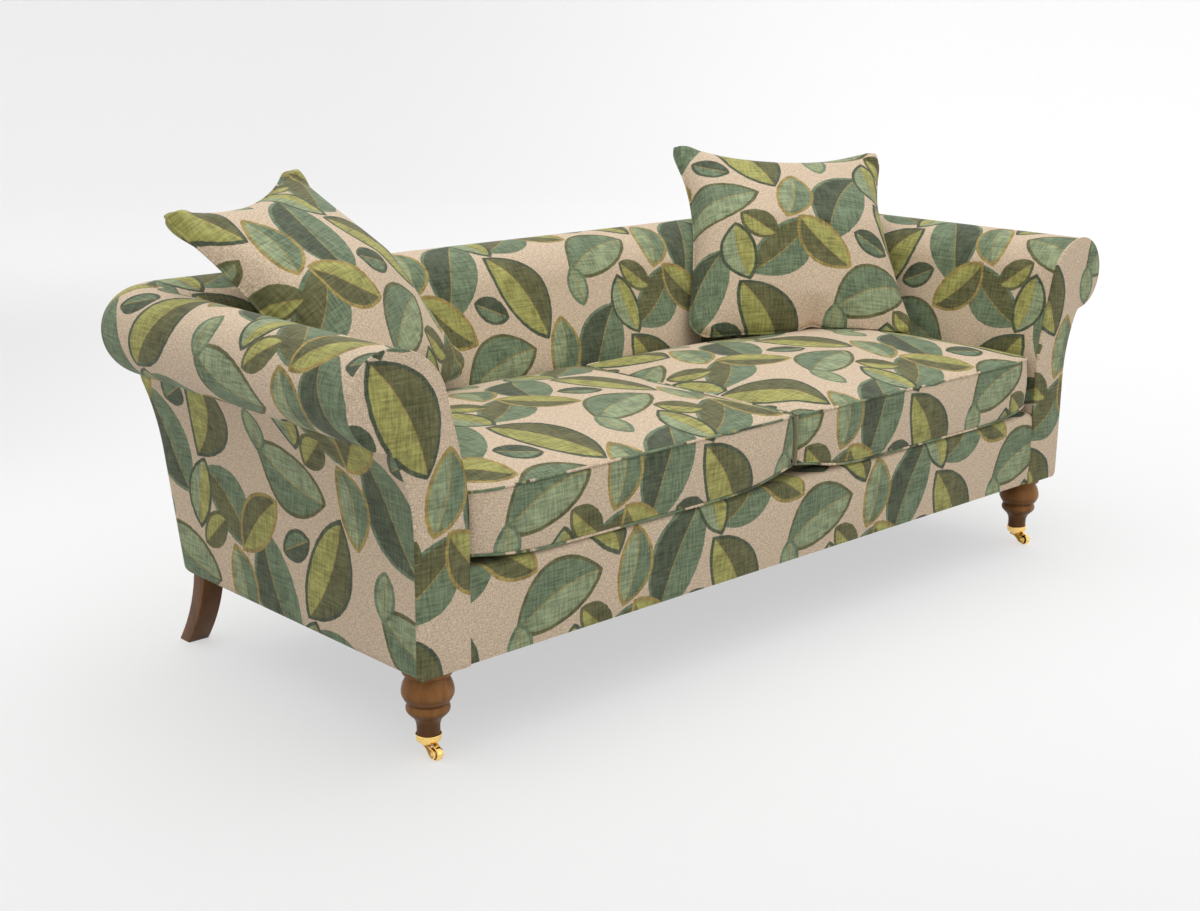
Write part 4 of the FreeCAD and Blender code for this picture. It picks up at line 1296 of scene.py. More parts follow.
@dataclass(frozen=True)
class FrontBorder:
    """The upholstered border under the seat cushions, folded back over its padded top edge."""

    cover: bpy.types.Material
    half_width: float = 0.8495
    face_y: float = -0.455
    base: float = 0.169
    top: float = 0.338
    edge: float = 0.016
    fold: float = 0.050
    swell: float = 0.003
    cut: tuple[float, float] = (0.06, 0.02)
    behind_cut: float = 0.05
    columns: int = 150

    def outline(self) -> np.ndarray:
        """The border's section, as depth and height, from the foot up the front and down behind.

        Returns:
            The section's points.
        """
        up = np.linspace(self.base, self.top - self.edge, 16)
        front = np.column_stack([np.full(len(up), self.face_y), up])
        angles = np.linspace(0, HALF_TURN / 2, 9)[1:]
        turn = np.column_stack([
            self.face_y + self.edge * (1 - np.cos(angles)),
            self.top - self.edge + self.edge * np.sin(angles),
        ])
        behind = self.face_y + self.fold
        back = np.array([[behind, self.top], [behind, (self.base + self.top) / 2], [behind, self.base]])
        return np.vstack([front, turn, back])

    def build(self) -> bpy.types.Object:
        """Sweeps the section from arm to arm.

        Returns:
            The border as one closed form.
        """
        outline = self.outline()
        across = np.linspace(-self.half_width, self.half_width, self.columns)
        points = np.empty((len(outline), len(across), 3))
        points[..., 0] = across[None]
        share = np.clip((outline[:, 1] - self.base) / (self.top - self.base), 0, 1)
        swell = self.swell * np.sin(HALF_TURN * share)
        front = outline[:, 0] < self.face_y + self.edge
        points[..., 1] = (outline[:, 0] - np.where(front, swell, 0))[:, None]
        points[..., 2] = outline[:, 1][:, None]
        cloth = np.stack(np.broadcast_arrays(across[None], run_along(outline)[:, None]), axis=-1)
        cloth = cloth + np.array(self.cut)
        surface = Surface()
        behind = cloth[-1:] + self.behind_cut
        surface.grid(np.concatenate([points, points[:1]]), np.concatenate([cloth, behind]))
        for end in (0, -1):
            surface.cap(points[:, end], outline)
        piece = surface.build("front_border", self.cover)
        declare(piece, BODY, Slot.CLOTH, "front_border_cover", "front_edge_padding")
        return piece


@dataclass(frozen=True)
class ClothPress:
    """Inflates a sewn cover with a short cloth simulation."""

    pressure: float
    stiffness: float
    frames: int
    quality: int = 6
    mass: float = 0.4
    shear: float = 0.6
    bending: float = 0.6

    def run(self, mesh: bpy.types.Mesh, held: np.ndarray) -> np.ndarray:
        """Runs the simulation on a copy of a mesh.

        Args:
            mesh: the sewn cover at rest.
            held: how firmly each point is held, from 0 to 1.

        Returns:
            Where the points end.
        """
        work = bpy.data.objects.new("inflating", mesh.copy())
        bpy.context.scene.collection.objects.link(work)
        group = work.vertex_groups.new(name="held")
        for index in np.nonzero(held > 0)[0]:
            group.add([int(index)], float(held[index]), "REPLACE")
        modifier = work.modifiers.new("cloth", "CLOTH")
        settings = modifier.settings
        settings.quality = self.quality
        settings.mass = self.mass
        settings.tension_stiffness = self.stiffness
        settings.compression_stiffness = self.stiffness
        settings.shear_stiffness = self.stiffness * self.shear
        settings.bending_stiffness = self.bending
        settings.use_pressure = True
        settings.uniform_pressure_force = self.pressure
        settings.effector_weights.gravity = 0.0
        settings.vertex_group_mass = "held"
        modifier.collision_settings.use_collision = False
        scene = bpy.context.scene
        modifier.point_cache.frame_start = 1
        modifier.point_cache.frame_end = self.frames
        for frame in range(1, self.frames + 1):
            scene.frame_set(frame)
        graph = bpy.context.evaluated_depsgraph_get()
        result = bpy.data.meshes.new_from_object(work.evaluated_get(graph), depsgraph=graph)
        ended = read_points(result)
        bpy.data.objects.remove(work)
        bpy.data.meshes.remove(result)
        scene.frame_set(1)
        return ended


@dataclass(frozen=True)
class SeatCushion:
    """A boxed seat cushion: crowned top, slim beads at both seams and lifted front corners.

    A cut says where on the cloth a panel was cut from, in metres.
    """

    cover: bpy.types.Material
    piping: PipingTree
    inner_x: float = 0.0012
    outer_x: float = 0.8488
    front_y: float = -0.4535
    back_y: float = 0.1860
    bottom: float = 0.3386
    seam_height: float = 0.4690
    crown: float = 0.034
    crown_power: float = 0.8
    shoulder: float = 0.130
    past_seam: float = 0.02
    corner: float = 0.036
    split_pull: float = 0.22
    arm_pull: float = 0.42
    boxing_swell: float = 0.006
    hidden_swell: float = 0.15
    split_lift: float = 0.026
    arm_lift: float = 0.018
    lift_run: float = 0.17
    lift_fall: float = 2.5
    lift_depth: float = 0.10
    seam_band: float = 0.004
    seam_reach: float = 0.008
    most_filled: float = 0.024
    front_room: float = 0.012
    bead: float = 0.0026
    bead_rise: float = 0.6
    cut: tuple[float, float] = (0.17, 0.13)
    under_cut: float = 0.37
    left_cut: float = 0.25
    columns: int = 72
    rows: int = 54
    boxing_rows: int = 10

    def plan(self) -> np.ndarray:
        """The seam's outline seen from above, as a grid of points that fills it, rows from front to back.

        Returns:
            Points by row and column.
        """
        across = np.linspace(-1, 1, self.columns)
        deep = np.linspace(-1, 1, self.rows)
        u, v = np.meshgrid(across, deep)
        half_x = (self.outer_x - self.inner_x) / 2
        half_y = (self.back_y - self.front_y) / 2
        x = u * half_x
        y = v * half_y
        round_x = np.clip((np.abs(x) - (half_x - 2 * self.corner)) / (2 * self.corner), 0, 1)
        round_y = np.clip((np.abs(y) - (half_y - 2 * self.corner)) / (2 * self.corner), 0, 1)
        pull = self.corner * np.where(x < 0, self.split_pull, self.arm_pull) * (round_x * round_y) ** 1.5
        x = x - np.sign(x) * pull
        y = y - np.sign(y) * pull
        centre_x = (self.outer_x + self.inner_x) / 2
        centre_y = (self.back_y + self.front_y) / 2
        return np.stack([x + centre_x, y + centre_y], axis=-1)

    def lift(self, plan: np.ndarray) -> np.ndarray:
        """How far the lower seam rises near the front corners.

        Args:
            plan: points seen from above.

        Returns:
            The rise at each point.
        """
        from_front = plan[..., 1] - self.front_y
        forward = np.exp(-((from_front / self.lift_depth) ** 2))
        from_split = (plan[..., 0] - self.inner_x) / self.lift_run
        from_arm = (self.outer_x - plan[..., 0]) / self.lift_run
        split = np.exp(-(from_split ** 2) * self.lift_fall) * self.split_lift
        arm = np.exp(-(from_arm ** 2) * self.lift_fall) * self.arm_lift
        return forward * (split + arm)

    def rise(self, edge: np.ndarray) -> np.ndarray:
        """How far the crown stands up at a distance from the cushion's edge."""
        return self.crown * smoothstep(-self.past_seam, self.shoulder, edge) ** self.crown_power

    def surface(self) -> Surface:
        """The cushion's cover before it is filled.

        Returns:
            The surface with its top, its underside and the boxing between them.
        """
        plan = self.plan()
        edge = np.minimum.reduce([
            plan[..., 0] - self.inner_x,
            self.outer_x - plan[..., 0],
            plan[..., 1] - self.front_y,
            self.back_y - plan[..., 1],
        ])
        top = np.dstack([plan, self.seam_height + self.rise(edge) - self.rise(np.zeros(1))])
        low = np.dstack([plan, self.bottom + self.lift(plan) * smoothstep(self.lift_depth, 0.0, edge)])
        cloth = plan - np.array([0.0, self.front_y]) + np.array(self.cut)
        surface = Surface()
        surface.grid(top, cloth)
        surface.grid(low[:, ::-1], cloth[:, ::-1] + self.under_cut)
        self.boxing(surface, rim_of(top), rim_of(low), rim_of(plan))
        return surface

    def boxing(self, surface: Surface, top: np.ndarray, low: np.ndarray, plan: np.ndarray) -> None:
        """Adds the band between the two seams, swelling a little between them.

        Args:
            surface: what the band is added to.
            top: the upper seam.
            low: the lower seam.
            plan: the seams seen from above.
        """
        ahead = np.roll(plan, -1, axis=0) - np.roll(plan, 1, axis=0)
        outward = np.column_stack([ahead[:, 1], -ahead[:, 0]])
        outward /= np.maximum(np.linalg.norm(outward, axis=1), 1e-9)[:, None]
        facing_front = np.clip(-outward[:, 1], 0, 1)
        swell = self.boxing_swell * (self.hidden_swell + (1 - self.hidden_swell) * facing_front)
        steps = run_along(plan) + self.inner_x + self.cut[0]
        band = []
        cloth = []
        for share in np.linspace(0, 1, self.boxing_rows + 1):
            level = top * (1 - share) + low * share
            level[:, :2] += outward * (swell * math.sin(HALF_TURN * share))[:, None]
            band.append(level)
            cloth.append(np.column_stack([steps, level[:, 2] - top[:, 2] + self.cut[1]]))
        surface.grid(np.stack(band), np.stack(cloth), closed=True)

    def build(self, side: Side, press: ClothPress) -> bpy.types.Object:
        """Sews, fills and places one seat cushion.

        Args:
            side: which cushion.
            press: the simulation that fills it.

        Returns:
            The cushion's cover.
        """
        name = side.label + "_seat_cushion"
        piece = self.surface().build(name, self.cover, 70.0)
        points = read_points(piece.data)
        seams = self.seam_weight(points)
        ended = press.run(piece.data, seams)
        points = self.limit(points, ended)
        points = self.fit_between(points)
        write_points(piece.data, points)
        if side is Side.LEFT:
            self.reflect(piece.data)
        soften(piece, seams > 0)
        names = [name + "_cover", name + "_core"]
        declare(piece, name, Slot.CLOTH, *names)
        self.sew_beads(side, name)
        return piece

    def seam_weight(self, points: np.ndarray) -> np.ndarray:
        """Holds the seams, and lets the panels between them move.

        Args:
            points: the cover's points.

        Returns:
            1 for a point on a seam and 0 for the others.
        """
        reach = reach_to(points[:, :2], rim_of(self.plan())[::2])
        at_top = np.abs(points[:, 2] - self.seam_height) < self.seam_band
        low = self.bottom + self.lift(points[:, :2])
        at_low = np.abs(points[:, 2] - low) < self.seam_band
        return np.where((reach < self.seam_reach) & (at_top | at_low), 1.0, 0.0)

    def limit(self, before: np.ndarray, after: np.ndarray) -> np.ndarray:
        """Caps how far the filling may push a point."""
        move = after - before
        size = np.maximum(np.linalg.norm(move, axis=1), 1e-9)
        return before + move * np.minimum(self.most_filled / size, 1.0)[:, None]

    def fit_between(self, points: np.ndarray) -> np.ndarray:
        """Keeps the cushion between the arm, the other cushion, the back and the deck.

        Args:
            points: the filled cushion's points.

        Returns:
            The points within their room.
        """
        fitted = points.copy()
        fitted[:, 0] = np.clip(fitted[:, 0], self.inner_x, self.outer_x)
        fitted[:, 1] = np.clip(fitted[:, 1], self.front_y - self.front_room, self.back_y)
        fitted[:, 2] = np.maximum(fitted[:, 2], self.bottom)
        return fitted

    def reflect(self, mesh: bpy.types.Mesh) -> None:
        """Turns the right cushion's mesh into the left one's, with its print unreflected.

        Args:
            mesh: the cushion's mesh.
        """
        points = read_points(mesh)
        points[:, 0] *= -1
        write_points(mesh, points)
        mesh.flip_normals()
        cloth = read_cloth(mesh)
        cloth[:, 0] = self.left_cut - cloth[:, 0]
        mesh.uv_layers[CLOTH_MAP].data.foreach_set("uv", cloth.ravel())

    def sew_beads(self, side: Side, name: str) -> None:
        """The slim beads along the upper and lower seams.

        Args:
            side: which cushion.
            name: the cushion's name.
        """
        loop = rim_of(self.plan())
        steps = run_along(loop) + self.cut[0]
        cloth = np.column_stack([steps * side.value, np.full(len(loop), self.cut[1])])
        mirror = np.array([side.value, 1.0, 1.0])
        low = self.bottom + self.lift(loop) + self.bead * self.bead_rise
        heights = {"upper": np.full(len(loop), self.seam_height), "lower": low}
        for label, height in heights.items():
            seam = np.column_stack([loop, height])
            seam[:, 0] = np.clip(seam[:, 0], self.inner_x + self.bead, self.outer_x - self.bead)
            seam[:, 1] = np.minimum(seam[:, 1], self.back_y - self.bead)
            called = "_".join([name, label, "bead"])
            bead = self.piping.sew(called, seam * mirror, cloth, self.bead, self.cover)
            declare(bead, name, Slot.CLOTH)


@dataclass(frozen=True)
class ScatterPlace:
    """Where a scatter cushion leans, and where on the cloth it was cut from.

    The centre and the cut are in metres, the turn, lean and spin in degrees.
    """

    centre: tuple[float, float, float]
    turn: float
    lean: float
    spin: float
    cut: tuple[float, float]

    def matrix(self) -> Matrix:
        """The cushion's placement.

        Returns:
            The matrix that takes the flat cushion to its corner.
        """
        turn = Matrix.Rotation(math.radians(self.turn), 4, "Z")
        lean = Matrix.Rotation(math.radians(90 - self.lean), 4, "X")
        spin = Matrix.Rotation(math.radians(self.spin), 4, "Z")
        return Matrix.Translation(self.centre) @ turn @ lean @ spin


@dataclass(frozen=True)
class ScatterCushion:
    """A knife-edged scatter cushion: two square panels sewn round a slim bead and filled."""

    cover: bpy.types.Material
    piping: PipingTree
    carcass: Carcass
    width: float = 0.558
    tall: float = 0.564
    front_swell: float = 0.118
    back_swell: float = 0.040
    fullness: float = 0.7
    side_draw: float = 0.028
    top_draw: float = 0.046
    foot_draw: float = 0.004
    pucker: float = 0.020
    pucker_at: float = 0.08
    pucker_width: float = 0.09
    pucker_fade: int = 8
    high_waist: float = 0.6
    ear: float = 0.050
    ear_round: float = 0.024
    ear_start: tuple[float, float] = (0.45, 0.80)
    slack_end: tuple[float, float] = (0.55, 0.85)
    slack: float = 0.45
    plump: float = 0.90
    foot_settle: float = 0.35
    top_settle: float = 0.52
    bead: float = 0.0030
    back_cut: float = 0.19
    cells: int = 48
    crowding: float = 0.3
    clearance: float = 0.0012

    def flat_grid(self) -> tuple[np.ndarray, np.ndarray]:
        """The panels' shared grid, and how full each of its points is.

        Returns:
            The plan's points, with drawn-in sides and rounded ears, and the fullness from 0 to 1.
        """
        even = np.linspace(-1, 1, self.cells + 1)
        crowded = even * (1 + self.crowding) - self.crowding * even ** 3
        u, v = np.meshgrid(crowded, crowded)
        past_x = np.clip((np.abs(u) - 1) * self.width / 2 + self.ear, 0, None)
        past_y = np.clip((np.abs(v) - 1) * self.tall / 2 + self.ear, 0, None)
        turn = np.maximum(past_x, past_y) / np.maximum(np.hypot(past_x, past_y), 1e-9)
        turn = np.where((past_x > 0) & (past_y > 0), turn, 1.0)
        waist = (1 - v ** 2) * (1 + self.high_waist * v)
        inset_x = past_x * (1 - turn) + self.side_draw * waist * np.abs(u) ** 2
        pucker = self.pucker * np.exp(-((u - self.pucker_at) / self.pucker_width) ** 2)
        pucker = pucker * np.clip(-v, 0, 1) ** self.pucker_fade
        draw = np.where(v > 0, self.top_draw, self.foot_draw)
        inset_y = past_y * (1 - turn) + draw * (1 - u ** 2) * np.abs(v) ** 2 + pucker
        x = u * self.width / 2 - np.sign(u) * inset_x
        y = v * self.tall / 2 - np.sign(v) * inset_y
        full = np.clip((1 - u ** 2) * (1 - v ** 2), 0, 1) ** self.fullness
        return np.stack([x, y], axis=-1), full

    def surface(self, cut: tuple[float, float]) -> Surface:
        """The sewn cover, lightly filled.

        Args:
            cut: where on the cloth its front panel was cut from.

        Returns:
            The surface with front and back panels.
        """
        plan, full = self.flat_grid()
        cloth = plan + np.array(cut)
        surface = Surface()
        surface.grid(np.dstack([plan, self.front_swell * full]), cloth)
        behind = np.dstack([plan, -self.back_swell * full])
        surface.grid(behind[:, ::-1], cloth[:, ::-1] + self.back_cut)
        return surface

    def rim(self) -> np.ndarray:
        """The seam's points in the flat panels, in order round them."""
        plan, _ = self.flat_grid()
        return rim_of(plan)

    def build(
        self,
        side: Side,
        place: ScatterPlace,
        press: ClothPress,
        seat: bpy.types.Object,
    ) -> None:
        """Sews, fills and leans one scatter cushion.

        Args:
            side: which corner it leans in.
            place: where it leans.
            press: the simulation that fills it.
            seat: the seat cushion that it stands on.
        """
        name = side.label + "_scatter_cushion"
        piece = self.surface(place.cut).build(name, self.cover, 180.0)
        face_outward(piece.data)
        points = read_points(piece.data)
        points = self.fill(piece.data, points, press)
        matrix = np.array(place.matrix())
        points = points @ matrix[:3, :3].T + matrix[:3, 3]
        points = self.stand_on(self.lean_on(points, side), seat)
        write_points(piece.data, points)
        cloth = self.rim() + np.array(place.cut)
        seam_index = self.nearest_rim(piece.data, cloth)
        seam = points[seam_index]
        on_seam = np.zeros(len(points), bool)
        on_seam[seam_index] = True
        soften(piece, on_seam)
        names = [side.label + "_scatter_cover", side.label + "_scatter_filling"]
        declare(piece, name, Slot.CLOTH, *names)
        line = smooth_loop(seam)
        bead = self.piping.sew(name + "_bead", line, smooth_loop(cloth), self.bead, self.cover)
        declare(bead, name, Slot.CLOTH)

    @staticmethod
    def nearest_rim(mesh: bpy.types.Mesh, wanted: np.ndarray) -> list[int]:
        """The mesh's points along the seam, in order, found by their cloth coordinates.

        Args:
            mesh: the cushion's mesh.
            wanted: cloth coordinates along the seam.

        Returns:
            The points' indexes.
        """
        owner = np.empty(len(mesh.loops), np.int32)
        mesh.loops.foreach_get("vertex_index", owner)
        gap = np.linalg.norm(wanted[:, None] - read_cloth(mesh)[None], axis=2)
        return [int(owner[i]) for i in gap.argmin(axis=1)]

    def fill(self, mesh: bpy.types.Mesh, points: np.ndarray, press: ClothPress) -> np.ndarray:
        """Inflates the cover and brings it back to the cushion's own size.

        Args:
            mesh: the sewn cover.
            points: its points.
            press: the simulation.

        Returns:
            The filled cushion's points.
        """
        ended = press.run(mesh, np.zeros(len(points)))
        span = points[:, :2].max(axis=0) - points[:, :2].min(axis=0)
        reached = ended[:, :2].max(axis=0) - ended[:, :2].min(axis=0)
        ended[:, :2] *= span / reached
        to_corner = 4 * np.abs(points[:, 0] * points[:, 1]) / (self.width * self.tall)
        slack = self.slack * (1 - smoothstep(*self.slack_end, to_corner))[:, None]
        ended[:, :2] = ended[:, :2] * slack + points[:, :2] * (1 - slack)
        front = np.clip(ended[:, 2] / max(ended[:, 2].max(), 1e-6), 0, 1) ** self.plump
        back = np.clip(ended[:, 2] / min(ended[:, 2].min(), -1e-6), 0, 1)
        settle = np.where(points[:, 1] > 0, self.top_settle, self.foot_settle)
        front *= 1 - settle * np.abs(points[:, 1]) / (self.tall / 2)
        ended[:, 2] = front * self.front_swell - back * self.back_swell
        ear = self.ear_height(points) * smoothstep(*self.ear_start, to_corner)
        in_front = points[:, 2] > 0
        ended[:, 2] = np.where(in_front, np.maximum(ended[:, 2], ear), np.minimum(ended[:, 2], -ear))
        return ended

    def ear_height(self, points: np.ndarray) -> np.ndarray:
        """How far a filled ear stands off the seam's plane, as a round edge does."""
        reach = reach_to(points[:, :2], smooth_loop(self.rim()))
        short = 1 - np.clip(reach / self.ear_round, 0, 1)
        return self.ear_round * np.sqrt(1 - short ** 2)

    def lean_on(self, points: np.ndarray, side: Side) -> np.ndarray:
        """Presses the cushion against the arm and the back instead of through them.

        Args:
            points: the placed cushion's points.
            side: which corner.

        Returns:
            The points, outside the covers.
        """
        moved = points.copy()
        moved[:, 0] *= side.value
        arm = np.vstack(list(self.carcass.arm.sections().values())) + np.array([self.carcass.corner_x, 0])
        back = np.vstack(list(self.carcass.back.sections().values())) + np.array([self.carcass.corner_y, 0])
        for _ in range(3):
            moved[:, [0, 2]] = push_out(moved[:, [0, 2]], arm, self.clearance)
            moved[:, [1, 2]] = push_out(moved[:, [1, 2]], back, self.clearance)
        moved[:, 0] *= side.value
        return moved

    def stand_on(self, points: np.ndarray, seat: bpy.types.Object) -> np.ndarray:
        """Lifts what would sink into the seat cushion until it lies on it.

        Args:
            points: the leaning cushion's points.
            seat: the seat cushion below it.

        Returns:
            The points, above the seat.
        """
        below = BVHTree.FromObject(seat, bpy.context.evaluated_depsgraph_get())
        lifted = points.copy()
        for index, point in enumerate(points):
            hit, _, _, _ = below.ray_cast(Vector((point[0], point[1], 2.0)), Vector((0, 0, -1)))
            if hit is not None:
                lifted[index, 2] = max(point[2], hit.z + self.bead)
        return lifted


def push_out(points: np.ndarray, outline: np.ndarray, clearance: float) -> np.ndarray:
    """Moves points that are inside a closed outline to just outside it.

    Args:
        points: points in the outline's plane.
        outline: the closed outline.
        clearance: how far outside they end.

    Returns:
        The moved points.
    """
    ahead = np.roll(outline, -1, axis=0)
    edge = ahead - outline
    length = np.maximum((edge ** 2).sum(axis=1), 1e-12)
    rel = points[:, None] - outline[None]
    share = np.clip((rel * edge[None]).sum(axis=2) / length[None], 0, 1)
    nearest = outline[None] + share[..., None] * edge[None]
    gap = points[:, None] - nearest
    distance = np.linalg.norm(gap, axis=2)
    best = distance.argmin(axis=1)
    row = np.arange(len(points))
    crosses = (outline[None, :, 1] > points[:, None, 1]) != (ahead[None, :, 1] > points[:, None, 1])
    rise = np.where(np.abs(edge[:, 1]) > 1e-12, edge[:, 1], 1e-12)
    at = outline[None, :, 0] + (points[:, None, 1] - outline[None, :, 1]) * (edge[:, 0] / rise)[None]
    inside = (crosses & (points[:, None, 0] < at)).sum(axis=1) % 2 == 1
    away = gap[row, best] / np.maximum(distance[row, best], 1e-9)[:, None]
    target = nearest[row, best] - away * clearance
    return np.where(inside[:, None], target, points)


@dataclass(frozen=True)
class TurnedLeg:
    """A turned walnut front leg: collar, bun, ring and a vase foot in the castor's cup."""

    finish: bpy.types.Material
    x: float = 0.900
    y: float = -0.403
    turns: int = 72
    outline: tuple[tuple[float, float], ...] = (
        (0.0, 169.0), (43.4, 169.0), (44.4, 168.0), (44.4, 156.0), (43.4, 154.6), (40.6, 154.0),
        (36.4, 153.4), (35.0, 152.4), (34.8, 151.2), (36.2, 149.0), (38.6, 145.4), (41.4, 140.6),
        (43.8, 135.0), (45.5, 129.0), (46.4, 123.4), (46.4, 119.0), (45.8, 115.6), (44.8, 112.9),
        (43.6, 111.4), (42.9, 110.9), (42.8, 110.3), (43.0, 109.7), (42.0, 107.6), (39.8, 104.4),
        (37.2, 101.2), (35.5, 99.5), (35.2, 98.8), (35.7, 98.0), (37.6, 95.8), (38.9, 92.4),
        (39.0, 89.0), (38.0, 85.4), (35.9, 82.2), (33.7, 80.4), (32.9, 79.7), (32.7, 78.9),
        (30.2, 76.6), (26.9, 73.4), (24.2, 69.4), (22.2, 65.0), (21.0, 60.0), (20.6, 55.0),
        (20.6, 49.0), (20.9, 44.0), (20.9, 33.4), (12.0, 28.2), (0.0, 28.2),
    )
    # painted shade: darker down the foot and where the turning faces the floor
    foot_from: tuple[float, float] = (0.084, 0.064)
    foot_shade: float = 0.62
    under_shade: float = 0.95
    most_shade: float = 0.90

    def build(self, side: Side) -> bpy.types.Object:
        """Turns the leg on its axis.

        Args:
            side: which leg.

        Returns:
            The leg.
        """
        outline = np.array(self.outline) / 1000
        angles = round_angles(self.turns)
        points = np.empty((len(outline), self.turns, 3))
        points[..., 0] = side.value * self.x + outline[:, :1] * np.cos(angles)[None]
        points[..., 1] = self.y + outline[:, :1] * np.sin(angles)[None]
        points[..., 2] = outline[:, 1:]
        shares = np.broadcast_to((angles / (2 * HALF_TURN))[None], points.shape[:2])
        # painted shade, carried to the walnut finish in the second cloth coordinate
        shade_amount = np.broadcast_to(self.shade_amount(outline)[:, None], points.shape[:2])
        surface = Surface()
        surface.grid(points, np.stack([shares, shade_amount], axis=-1), closed=True)
        piece = surface.build(side.label + "_turned_leg", self.finish, 50.0)
        return declare(piece, BODY, Slot.WALNUT, side.label + "_front_leg")

    def shade_amount(self, outline: np.ndarray) -> np.ndarray:
        """How much painted shade lies on the outline: under the bun and the ring, where they face down, and
        down the foot.

        Args:
            outline: radius and height, in metres.

        Returns:
            The painted shade at each point, from 0 to 1.
        """
        ahead = np.gradient(outline, axis=0)
        under = np.clip(-ahead[:, 0] / np.maximum(np.hypot(ahead[:, 0], ahead[:, 1]), 1e-9), 0, 1)
        foot = smoothstep(*self.foot_from, outline[:, 1])
        return np.clip(under * self.under_shade, self.foot_shade * foot, self.most_shade)


@dataclass(frozen=True)
class Castor:
    """A brass castor: a bowl-shaped cup, a horn with two slim swept arms and a wheel with a raised rim.

    Outlines are in millimetres: radius and height, or along the trail and height for an arm.
    """

    finish: bpy.types.Material
    piping: PipingTree
    x: float = 0.900
    y: float = -0.403
    heading: float = 262.0
    trail: float = 0.027
    axle_height: float = 0.013
    arm_inner: float = 0.0061
    arm_outer: float = 0.0094
    edge: float = 0.0006
    rim_inset: float = 0.0010
    rim_radius: float = 0.0007
    eye_radius: float = 0.0040
    web_radius: float = 0.0099
    web_depth: float = 0.0040
    turns: int = 48
    cup: tuple[tuple[float, float], ...] = (
        (4.3, 25.0), (14.0, 25.0), (17.8, 25.9), (20.8, 28.2), (22.5, 31.6), (22.9, 35.6),
        (22.6, 38.8), (23.3, 39.8), (23.4, 41.0), (22.8, 41.9), (21.8, 42.2), (20.95, 41.8),
        (20.95, 33.2), (12.2, 28.15), (4.3, 28.15),
    )
    plate: tuple[tuple[float, float], ...] = (
        (4.1, 20.2), (9.4, 20.2), (10.8, 20.9), (11.4, 22.4), (11.0, 24.0), (9.8, 24.9),
        (4.1, 24.9),
    )
    half_wheel: tuple[tuple[float, float], ...] = (
        (2.6, -5.4), (4.8, -5.4), (5.3, -5.0), (5.6, -3.9), (6.2, -3.5), (9.2, -3.5),
        (9.8, -3.9), (10.1, -4.9), (10.7, -5.4), (11.7, -5.3), (12.6, -4.6), (13.0, -3.2),
    )
    arm: tuple[tuple[float, float], ...] = (
        (-11.4, 25.2), (-11.8, 19.2), (-4.0, 18.0), (3.0, 17.0), (8.6, 13.8), (12.6, 9.0),
        (17.6, 5.6), (22.6, 4.0), (28.0, 3.8), (33.0, 6.8), (35.0, 12.8), (32.8, 18.4),
        (27.8, 20.4), (22.6, 20.8), (17.6, 23.0), (12.0, 25.2), (3.0, 25.4),
    )

    def place(self, points: np.ndarray, side: Side) -> np.ndarray:
        """Turns points to the castor's heading and moves them under the leg."""
        turn = np.array(Matrix.Rotation(math.radians(self.heading), 3, "Z"))
        return points @ turn.T + np.array([side.value * self.x, self.y, 0.0])

    def turned(self, surface: Surface, outline: np.ndarray, side: Side, rolling: bool = False) -> None:
        """Adds a ring turned from a closed outline, aged in a wheel's web.

        Args:
            surface: what the ring is added to.
            outline: radius and height, in metres.
            side: which castor.
            rolling: whether the ring turns on the axle instead of the pintle.
        """
        closed = np.vstack([outline, outline[:1]])
        angles = round_angles(self.turns)
        first = closed[:, :1] * np.cos(angles)[None]
        second = closed[:, :1] * np.sin(angles)[None]
        along = np.broadcast_to(closed[:, 1:], first.shape)
        if rolling:
            points = np.stack([first + self.trail, along, second + self.axle_height], axis=-1)
        else:
            points = np.stack([first, second, along], axis=-1)
        in_web = rolling & (closed[:, 0] < self.web_radius) & (np.abs(closed[:, 1]) < self.web_depth)
        aged = np.broadcast_to(in_web[:, None], first.shape)
        surface.grid(self.place(points, side), np.stack([first, aged], axis=-1), closed=True)

    def add_arm(self, surface: Surface, outline: np.ndarray, hand: int, side: Side) -> None:
        """Adds one arm of the horn, with its edges eased.

        Args:
            surface: what the arm is added to.
            outline: the arm's outline.
            hand: -1 or 1 for the two sides of the wheel.
            side: which castor.
        """
        into = inward(outline)
        depths = [
            (self.edge, self.arm_inner),
            (0.0, self.arm_inner + self.edge),
            (0.0, self.arm_outer - self.edge),
            (self.edge, self.arm_outer),
        ]
        rings = []
        for inset, depth in depths:
            flat = outline + into * inset
            rings.append(np.column_stack([flat[:, 0], np.full(len(flat), hand * depth), flat[:, 1]]))
        stack = self.place(np.stack(rings), side)
        surface.grid(stack, np.zeros((*stack.shape[:2], 2)), closed=True)
        for ring in (0, -1):
            surface.cap(stack[ring], outline + into * self.edge, np.broadcast_to([0.0, 1.0], outline.shape))

    def build(self, side: Side) -> None:
        """Makes the cup, the horn with its raised edges, and the wheel.

        Args:
            side: which castor.
        """
        name = side.label + "_castor"
        cup = Surface()
        self.turned(cup, np.array(self.cup) / 1000, side)
        declare(cup.build(name + "_bowl", self.finish), BODY, Slot.BRASS, name + "_cup")
        outline = smooth_loop(np.array(self.arm) / 1000, 5)
        horn = Surface()
        self.turned(horn, np.array(self.plate) / 1000, side)
        for hand in (-1, 1):
            self.add_arm(horn, outline, hand, side)
        declare(horn.build(name + "_arms", self.finish), name + "_swivel", Slot.BRASS, name + "_horn")
        half = np.array(self.half_wheel) / 1000
        wheel = Surface()
        self.turned(wheel, np.vstack([half, half[::-1] * np.array([1, -1])]), side, rolling=True)
        declare(wheel.build(name + "_tread", self.finish), name + "_roller", Slot.BRASS, name + "_wheel")
        self.sew_rims(outline, side)

